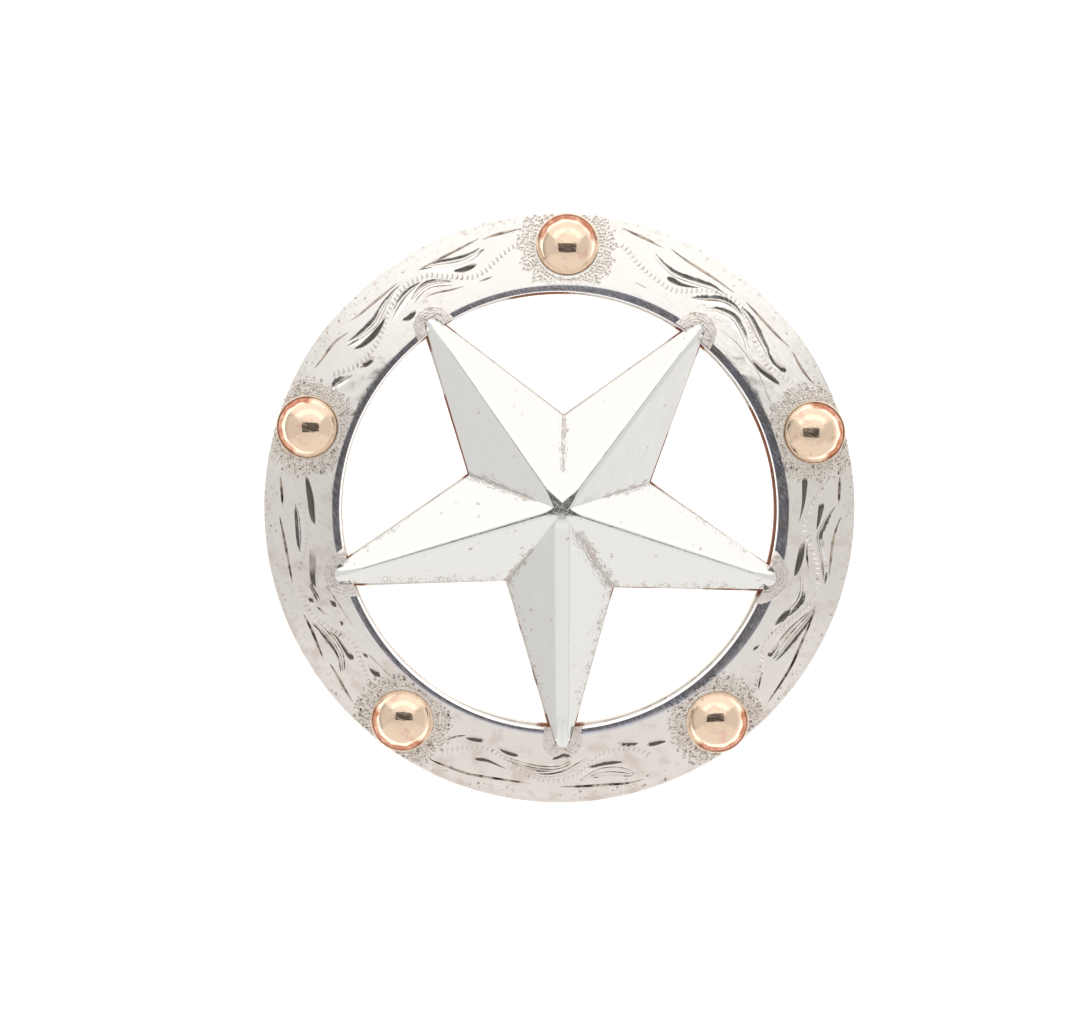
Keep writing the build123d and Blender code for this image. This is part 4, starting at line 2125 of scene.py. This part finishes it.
    def margin_wear(self, point: Vector) -> float:
        """How pitted the margin is at a place.

        Args:
            point: The place.

        Returns:
            A share from 0 to 1.
        """
        azimuth = bearing(point)
        found = [strength * clip(1.3 - turn_to(azimuth, m) / w) for m, w, strength in MARGIN_WEAR]
        return max(self.least_wear, *found)

    def stipple(self, ring: Object, finish: Material) -> None:
        """Punch the grounds round the domes and the worn margin.

        Args:
            ring: The ring.
            finish: The finish of the marks.
        """
        sets = self.punch_places()
        for places in sets:
            bpy.ops.mesh.primitive_uv_sphere_add(segments=7, ring_count=5, radius=self.dot_radius)
            punch = bpy.context.object
            punch.data.materials.append(finish)
            combine(ring, scatter("punch_marks", punch, places), Joining.CUT)
        log.info("stipple: %d marks", sum(len(places) for places in sets))

    def marks(self, point: Vector) -> dict[str, float]:
        """How much grime, solder and wear there is at a place.

        Args:
            point: The place.

        Returns:
            Shares for the grounds round the domes, the solder, the margin, the lower part, whose
            colour is darker and warmer, and the dull part of the ledge.
        """
        ground = min(flat_distance(point, dome.middle()) for dome in DOMES) - self.seat_radius
        tip = min(flat_distance(point, self.plan.tip(arm)) for arm in ARMS)
        return {
            "halo": clip(1.15 - ground / self.halo_reach),
            "solder": clip(1.1 - (tip - self.solder_reach)),
            "margin": clip(point.to_2d().length - self.margin_radius),
            "low": clip(0.45 - point.y / 40),
            "dull": clip(1.35 - turn_to(bearing(point), self.dull_azimuth) / self.dull_width),
        }

    def build(self) -> Object:
        """Build, engrave, mark and dress the rim.

        Returns:
            The finished rim.
        """
        face = EngravedSilver("engraved_silver").make()
        ledge = LedgeSilver("ledge_silver").make()
        line = CutSilver(
            "cut_silver", dirt_and_shade=(0.19, 0.145, 0.115), share=0.72, fade_share=0.35, roughness=0.33
        )
        bright = CutSilver("bright_cut_silver", dirt_and_shade=(0.5, 0.45, 0.4), share=0.2, roughness=0.12)
        rope = CutSilver("rope_silver", (0.93, 0.90, 0.87), (0.48, 0.41, 0.36), share=0.42)
        ground = CutSilver(
            "punched_silver", (0.92, 0.87, 0.82), (0.22, 0.16, 0.12), share=0.55, patch=0.22,
            roughness=0.30, fade_share=0.35,
        )
        solder = CutSilver(
            "solder_silver", (0.82, 0.77, 0.73), (0.52, 0.44, 0.39), patch=0.35, roughness=0.34
        )
        finishes = dict.fromkeys(Cut, line.make())
        finishes |= {Cut.BRIGHT: bright.make(), Cut.ROPE: rope.make()}
        ring = self.ring(face, ledge)
        combine(ring, self.collars(solder.make()), Joining.FUSE)
        combine(ring, self.plan.prism("star_seat", 0.0, 9.0, 0.02), Joining.CUT)
        self.engrave(ring, finishes, face)
        self.stipple(ring, ground.make())
        combine(ring, self.dome_seats(), Joining.CUT)
        paint(ring, self.marks)
        to_frame(ring, 24)
        return ring


@dataclass
class GoldDome:
    """One dome: a round cap with a thin lip on a short skirt."""

    radius: float = 2.35
    lip: float = 0.13
    crown: float = 1.15
    skirt: float = 0.70
    lift: float = 0.02
    flat_top: float = 0.46
    edge_round: float = 0.04
    facets: int = 10
    facet_turn: float = 0.4
    # Painted reflection: where the dark copper crescent lies on each dome, and how softly it starts.
    crescent_from: float = 1.746
    crescent_to: float = 2.26
    crescent_half: float = 0.02
    crescent_fade: float = 0.05

    def model(self) -> Object:
        """Model the dome about the origin.

        Returns:
            The dome, its outward side along +X.
        """
        cap_radius = self.radius - self.lip
        sphere = (cap_radius**2 + self.crown**2) / (2 * self.crown)
        top = self.skirt + self.crown
        bpy.ops.mesh.primitive_uv_sphere_add(
            segments=96, ring_count=96, radius=sphere, location=(0, 0, top - sphere)
        )
        dome = bpy.context.object
        dome.name = "gold_dome"
        take(dome)
        bpy.ops.object.transform_apply()
        wider = self.radius / cap_radius
        with editing(dome, Part.EDGE):
            bpy.ops.mesh.select_all(action="SELECT")
            bpy.ops.mesh.bisect(plane_co=(0, 0, self.skirt), plane_no=(0, 0, 1), clear_inner=True)
            bpy.ops.mesh.select_all(action="DESELECT")
            pick(dome, Part.EDGE, lambda e: len(e.link_faces) == 1)
            bpy.ops.mesh.extrude_region_move(TRANSFORM_OT_translate={"value": (0, 0, 0)})
            bpy.ops.transform.resize(value=(wider, wider, 1), center_override=(0, 0, 0))
            bpy.ops.mesh.extrude_region_move(TRANSFORM_OT_translate={"value": (0, 0, -self.skirt)})
            bpy.ops.mesh.edge_face_add()
            bpy.ops.mesh.select_all(action="DESELECT")
            pick(dome, Part.EDGE, lambda e: all(self.on_lip(vertex.co) for vertex in e.verts))
            bpy.ops.mesh.bevel(offset=self.edge_round, segments=3)
        close_up(dome)
        for vertex in dome.data.vertices:
            share = vertex.co.to_2d().length / cap_radius
            if vertex.co.z > self.skirt + 1e-3 and share < 1:
                fall = (1 - self.flat_top) * share**2 + self.flat_top * share**4
                vertex.co.z = self.skirt + self.crown * (1 - fall)
        return dome

    def on_lip(self, point: Vector) -> bool:
        """Whether a point lies on the lip's outer edge."""
        return abs(point.z - self.skirt) < 1e-3 and point.to_2d().length > self.radius - 0.01

    def marks(self, point: Vector) -> dict[str, float]:
        """How strongly the painted dark reflection lies at a place.

        Args:
            point: The place on the dome about the origin.

        Returns:
            A share, high in a crescent on the outward side whose inner edge has flats.
        """
        angle = math.atan2(point.y, point.x)
        facet = 2 * math.pi / self.facets
        bend = math.cos((angle + self.facet_turn) % facet - facet / 2)
        out = point.to_2d().length
        inner = clip((out - self.crescent_from / bend) / self.crescent_fade)
        outer = clip((self.crescent_to - out) / 0.04)
        return {"worn": inner * outer * clip((math.cos(angle) - self.crescent_half) * 4)}

    def build(self) -> list[Object]:
        """Build one dome, dress it and copy it to each place.

        Returns:
            The finished domes, in the order of their places.
        """
        first = self.model()
        paint(first, self.marks)
        first.data.materials.append(RoseGold("rose_gold").make())
        domes = []
        for number, place in enumerate(DOMES, start=1):
            dome = link(f"gold_dome_{number}", first.data.copy())
            dome.matrix_world = place.matrix(self.lift)
            take(dome)
            bpy.ops.object.transform_apply()
            to_frame(dome, 35)
            domes.append(dome)
        bpy.data.objects.remove(first)
        return domes


# Brightness of the tent high up, by azimuth in degrees.
HIGH_LIGHT = (
    (-180.0, 0.68), (-160.0, 0.70), (-143.0, 0.79), (-100.0, 0.80), (-60.0, 0.82), (-38.0, 0.79),
    (-20.0, 0.72), (0.0, 0.69), (16.0, 0.76), (32.0, 1.00), (55.0, 1.07), (95.0, 1.05),
    (118.0, 1.06), (135.0, 0.98), (150.0, 0.87), (165.0, 0.74), (180.0, 0.68),
)


@dataclass
class Studio:
    """Floor, light and camera. Angles are in degrees, and all else in metres."""

    distance: float = 0.375
    lean: float = 2.5
    aim_x: float = -0.00134
    aim_y: float = 0.00007
    focal_length: float = 166.0
    opening_across: float = 23.5
    opening_up: float = 12.0
    opening_tilt: float = 2.0
    opening_light: float = 0.13
    opening_soft: float = 0.8
    right_wall: float = -28.0
    top_wall: float = 34.0
    left_wall: float = 143.0
    bottom_wall: float = -152.0
    bottom_light: float = 0.86
    wall_top: float = 46.0
    ceiling: float = 56.0
    warm_light: Colour = (1.0, 0.985, 0.96)
    seen_light: Colour = (1.0, 1.0, 1.0)
    floor_size: float = 3.0
    floor_level: float = -0.00002
    floor_colour: Colour = (0.92, 0.92, 0.915)
    floor_glow: float = 0.70
    lamp_shift: float = 0.05
    lamp_level: float = 0.6
    lamp_size: float = 0.8
    lamp_power: float = 0.8

    def camera(self) -> None:
        """Camera above the piece, a little towards its top."""
        aim = Vector((self.aim_x, self.aim_y, 0))
        lean = self.lean * DEGREE
        eye = aim + self.distance * Vector((0, math.sin(lean), math.cos(lean)))
        bpy.ops.object.camera_add(location=eye)
        camera = bpy.context.object
        camera.rotation_euler = (-lean, 0, 0)
        camera.data.lens = self.focal_length
        camera.data.sensor_width = 36.0
        camera.data.clip_start = 0.01
        bpy.context.scene.camera = camera

    def walls(self, board: Board, azimuth: NodeSocket, elevation: NodeSocket) -> NodeSocket:
        """Light of the tent's four walls.

        Args:
            board: The world's board.
            azimuth: Where round the piece, in degrees.
            elevation: How high up, in degrees.

        Returns:
            How bright the tent is there.
        """
        top = board.between(azimuth, self.top_wall, self.left_wall, 5.0)
        right = board.between(azimuth, self.right_wall, self.top_wall, 4.0)
        bottom = board.between(azimuth, self.bottom_wall, self.right_wall, 4.0)
        left = board.inverse(board.total(top, right, bottom))
        top_light = board.total(
            board.ramp(elevation, 45.0, 58.0, (1.40, 1.02)),
            board.ramp(elevation, 24.0, 36.0, (-0.35, 0.0)),
        )
        low = board.total(
            board.times(top, top_light),
            board.times(right, board.ramp(elevation, 12.0, 16.0, (0.86, 0.71))),
            board.times(left, board.ramp(elevation, 4.0, 18.0, (0.45, 0.71))),
            board.times(bottom, self.bottom_light),
        )
        high = board.curve(azimuth, HIGH_LIGHT, -180.0, 180.0)
        share = board.ramp(elevation, self.wall_top, self.ceiling)
        return board.total(board.times(low, board.inverse(share)), board.times(high, share))

    def tent(self) -> None:
        """Light tent of four soft walls, with a dark opening over the piece."""
        world = bpy.data.worlds.new("light_tent")
        bpy.context.scene.world = world
        world.use_nodes = True
        board = Board(world.node_tree)
        way = board.add("SeparateXYZ", {"Vector": board.add("TexCoord").outputs["Generated"]}).outputs
        across = board.maths("DEGREES", board.maths("ARCTAN2", way["X"], way["Z"]))
        up = board.maths("DEGREES", board.maths("ARCTAN2", way["Y"], way["Z"]))
        azimuth = board.maths("DEGREES", board.maths("ARCTAN2", way["Y"], way["X"]))
        elevation = board.maths("DEGREES", board.maths("ARCSINE", way["Z"]))
        low, high = self.opening_tilt - self.opening_up, self.opening_tilt + self.opening_up
        opening = board.times(
            board.between(across, -self.opening_across, self.opening_across, self.opening_soft),
            board.between(up, low, high, self.opening_soft),
        )
        dim = board.ramp(opening, 0.0, 1.0, (1.0, self.opening_light))
        light = board.times(self.walls(board, azimuth, elevation), dim)
        seen = board.add("LightPath").outputs["Is Camera Ray"]
        glow = board.mix(seen, self.warm_light, self.seen_light)
        strength = board.total(board.times(board.inverse(seen), light), seen)
        lamp = board.add("Background", {"Color": glow, "Strength": strength})
        board.add("OutputWorld", {"Surface": lamp.outputs[0]})

    def floor(self) -> None:
        """Pale floor just below the piece, and the soft light over it."""
        bpy.ops.mesh.primitive_plane_add(size=self.floor_size, location=(0, 0, self.floor_level))
        floor = bpy.context.object
        floor.name = "pale_floor"
        material, board, shader = new_finish("pale_paper")
        board.feed(shader.inputs["Base Color"], self.floor_colour)
        board.feed(shader.inputs["Roughness"], 0.9)
        board.feed(shader.inputs["Specular IOR Level"], 0.0)
        board.feed(shader.inputs["Emission Color"], (1.0, 1.0, 1.0))
        board.feed(shader.inputs["Emission Strength"], self.floor_glow)
        floor.data.materials.append(material)
        bpy.ops.object.light_add(type="AREA", location=(0, self.lamp_shift, self.lamp_level))
        lamp = bpy.context.object
        lamp.data.size = self.lamp_size
        lamp.data.energy = self.lamp_power
        lamp.visible_glossy = False

    def build(self) -> None:
        """Set the whole studio up."""
        view = bpy.context.scene.view_settings
        view.view_transform = "Standard"
        view.look = "None"
        self.tent()
        self.floor()
        self.camera()


@dataclass(frozen=True)
class DarkStretch:
    """Stretch along an arm's side where the plate is darkened, partly tarnish and partly painted shade,
    in millimetres from the star's middle.

    The side is 1 for the one that comes later anticlockwise, and -1 for the other.
    """

    arm: int
    side: int
    start: float
    end: float
    strength: float


DARK_SIDES = (
    DarkStretch(0, 1, 15.4, 16.6, 0.9), DarkStretch(0, -1, 5.0, 9.6, 0.55), DarkStretch(0, -1, 15.4, 16.6, 0.9),
    DarkStretch(0, 1, 10.5, 15.4, 0.3), DarkStretch(1, 1, 5.0, 11.8, 0.7), DarkStretch(1, 1, 15.4, 16.6, 0.9),
    DarkStretch(1, -1, 11.0, 15.4, 0.3), DarkStretch(1, -1, 15.4, 16.6, 0.9), DarkStretch(2, 1, 15.8, 16.8, 0.7),
    DarkStretch(2, -1, 15.8, 16.8, 0.6), DarkStretch(3, 1, 5.0, 8.4, 0.3), DarkStretch(3, 1, 15.5, 16.6, 0.9),
    DarkStretch(3, -1, 8.0, 9.6, 0.4), DarkStretch(3, -1, 12.0, 13.6, 0.5), DarkStretch(3, -1, 15.6, 16.6, 0.9),
    DarkStretch(4, 1, 5.0, 12.5, 0.3), DarkStretch(4, 1, 15.2, 16.4, 0.9), DarkStretch(4, -1, 5.0, 8.5, 0.8),
    DarkStretch(4, -1, 12.0, 15.2, 0.55), DarkStretch(4, -1, 15.2, 16.4, 0.9),
)

# Dark stretches of the plate's edge inside the opening, partly tarnish and partly painted shade: middle
# and half width in degrees, strength.
DARK_EDGE = (
    (5.0, 24.0, 0.6), (95.0, 9.0, 0.6), (226.0, 8.0, 0.3), (264.0, 3.0, 0.25), (276.0, 3.0, 0.25),
)


@dataclass
class BronzePlate:
    """The back plate, made from the CAD's own mesh, with worn edges, and dark stretches that are partly
    tarnish and partly painted shade.
    """

    plan: StarPlan
    top: float = 0.9
    edge_wear: float = 0.05
    opening_from: float = 15.3
    opening_width: float = 1.1
    rim_radius: float = 21.5
    rim_age: float = 0.25
    squares: int = 17
    star_end: float = 18.6
    star_taper: float = 0.36
    star_margin: float = 0.4
    star_hub: float = 4.0
    side_fade: float = 0.6
    edge_fade: float = 4.0
    hidden_lip: float = 0.10
    hidden_azimuth: float = 178.0
    hidden_width: float = 75.0
    hidden_fade: float = 12.0
    opening_fade: float = 0.7

    def side_darkness(self, point: Vector) -> float:
        """How dark the plate is along the star's sides: partly tarnish, partly painted shade.

        Args:
            point: A place on the plate.

        Returns:
            A share from 0 to 1.
        """
        away = point - Vector((self.plan.shift_x, self.plan.shift_y, 0))
        found = 0.0
        for spot in DARK_SIDES:
            ahead = polar(1.0, ARMS[spot.arm].tip_angle)
            along = away.dot(ahead)
            across = ahead.cross(away).z * spot.side
            half_width = (self.star_end - along) * self.star_taper + self.star_margin
            if 0 < across < half_width and along > self.star_hub:
                edge = min(along - spot.start, spot.end - along)
                found = max(found, spot.strength * clip(0.5 + edge / self.side_fade))
        return found

    def marks(self, point: Vector) -> dict[str, float]:
        """How dark the plate is at a place: partly tarnish, partly painted shade beside the star and in
        the opening.

        Args:
            point: The place.

        Returns:
            A share from 0 to 1.
        """
        radius, azimuth = point.to_2d().length, bearing(point)
        if radius > self.rim_radius:
            return {"old": self.rim_age}
        found = [self.side_darkness(point)]
        if radius > self.opening_from:
            for middle, width, strength in DARK_EDGE:
                beside = (width - turn_to(azimuth, middle)) / self.edge_fade
                found.append(strength * clip(beside + 0.5))
        return {"old": max(found)}

    def uneven(self, point: Vector) -> Vector:
        """Where a point of the plate's true opening lies on the hand-made one.

        It follows the rim's opening, and hides under the rim at the left.

        Args:
            point: The point of the true plate.

        Returns:
            The point of the hand-made plate.
        """
        radius, azimuth = point.to_2d().length, bearing(point)
        if not self.opening_from < radius < self.opening_from + self.opening_width:
            return point
        beside = turn_to(azimuth, self.hidden_azimuth)
        hidden = clip((self.hidden_width - beside) / self.hidden_fade)
        shift = self.plan.opening_shift + polar(self.hidden_lip * hidden, azimuth)
        return point + shift * clip((radius - self.opening_from) / self.opening_fade)

    def on_top(self, edge: bmesh.types.BMEdge) -> bool:
        """Whether an edge bounds the plate's upper side.

        Args:
            edge: The edge.

        Returns:
            Whether it lies in that side and a wall starts there.
        """
        if any(abs(vertex.co.z - self.top) > 1e-3 for vertex in edge.verts):
            return False
        return len({face.normal.z > 0.5 for face in edge.link_faces}) == 2

    def build(self, node: Object) -> Object:
        """Copy the plain plate, wear its upper edges, mark and dress it.

        Args:
            node: The CAD's plate, which is left as it is.

        Returns:
            The finished plate.
        """
        plate = node.copy()
        plate.data = node.data.copy()
        plate.name = "bronze_plate"
        bpy.context.scene.collection.objects.link(plate)
        plate.parent = None
        plate.matrix_world = Matrix.Identity(4)
        plate.data.transform(Matrix.Scale(1 / MM, 4) @ node.matrix_world)
        close_up(plate)
        for vertex in plate.data.vertices:
            vertex.co = self.uneven(vertex.co)
        with editing(plate, Part.EDGE):
            pick(plate, Part.EDGE, self.on_top)
            bpy.ops.mesh.bevel(offset=self.edge_wear, segments=2)
            for step in range(1 - self.squares, self.squares):
                for way in ((1, 0, 0), (0, 1, 0)):
                    bpy.ops.mesh.select_all(action="SELECT")
                    bpy.ops.mesh.bisect(plane_co=(step + 0.013, step + 0.017, 0), plane_no=way)
        plate.data.materials.clear()
        plate.data.materials.append(BronzeSheet("bronze_sheet").make())
        paint(plate, self.marks)
        to_frame(plate, 40)
        return plate


def report(piece: Object) -> None:
    """Log a finished piece's size in faces."""
    faces = sum(len(polygon.vertices) - 2 for polygon in piece.data.polygons)
    log.info("%s: %d triangles", piece.name, faces)


def main() -> None:
    """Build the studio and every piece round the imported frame."""
    logging.basicConfig(level=logging.INFO, format="%(name)s: %(message)s")
    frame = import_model()
    Studio().build()
    plan = StarPlan()
    rim = EngravedRim(plan).build()
    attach(rim, "root")
    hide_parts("rim")
    report(rim)
    star = FacetedStar(plan).build()
    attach(star, "root")
    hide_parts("star")
    report(star)
    for number, dome in enumerate(GoldDome().build(), start=1):
        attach(dome, "root")
        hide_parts(f"dome_{number}")
        report(dome)
    plate = BronzePlate(plan).build(frame["nodes"]["back_plate"])
    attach(plate, "root")
    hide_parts("back_plate")
    report(plate)
    socket = frame["nodes"]["screw_socket"]
    socket.data.materials.clear()
    socket.data.materials.append(OldBrass("socket_brass").make())
    report(socket)


if __name__ == "__main__":
    main()
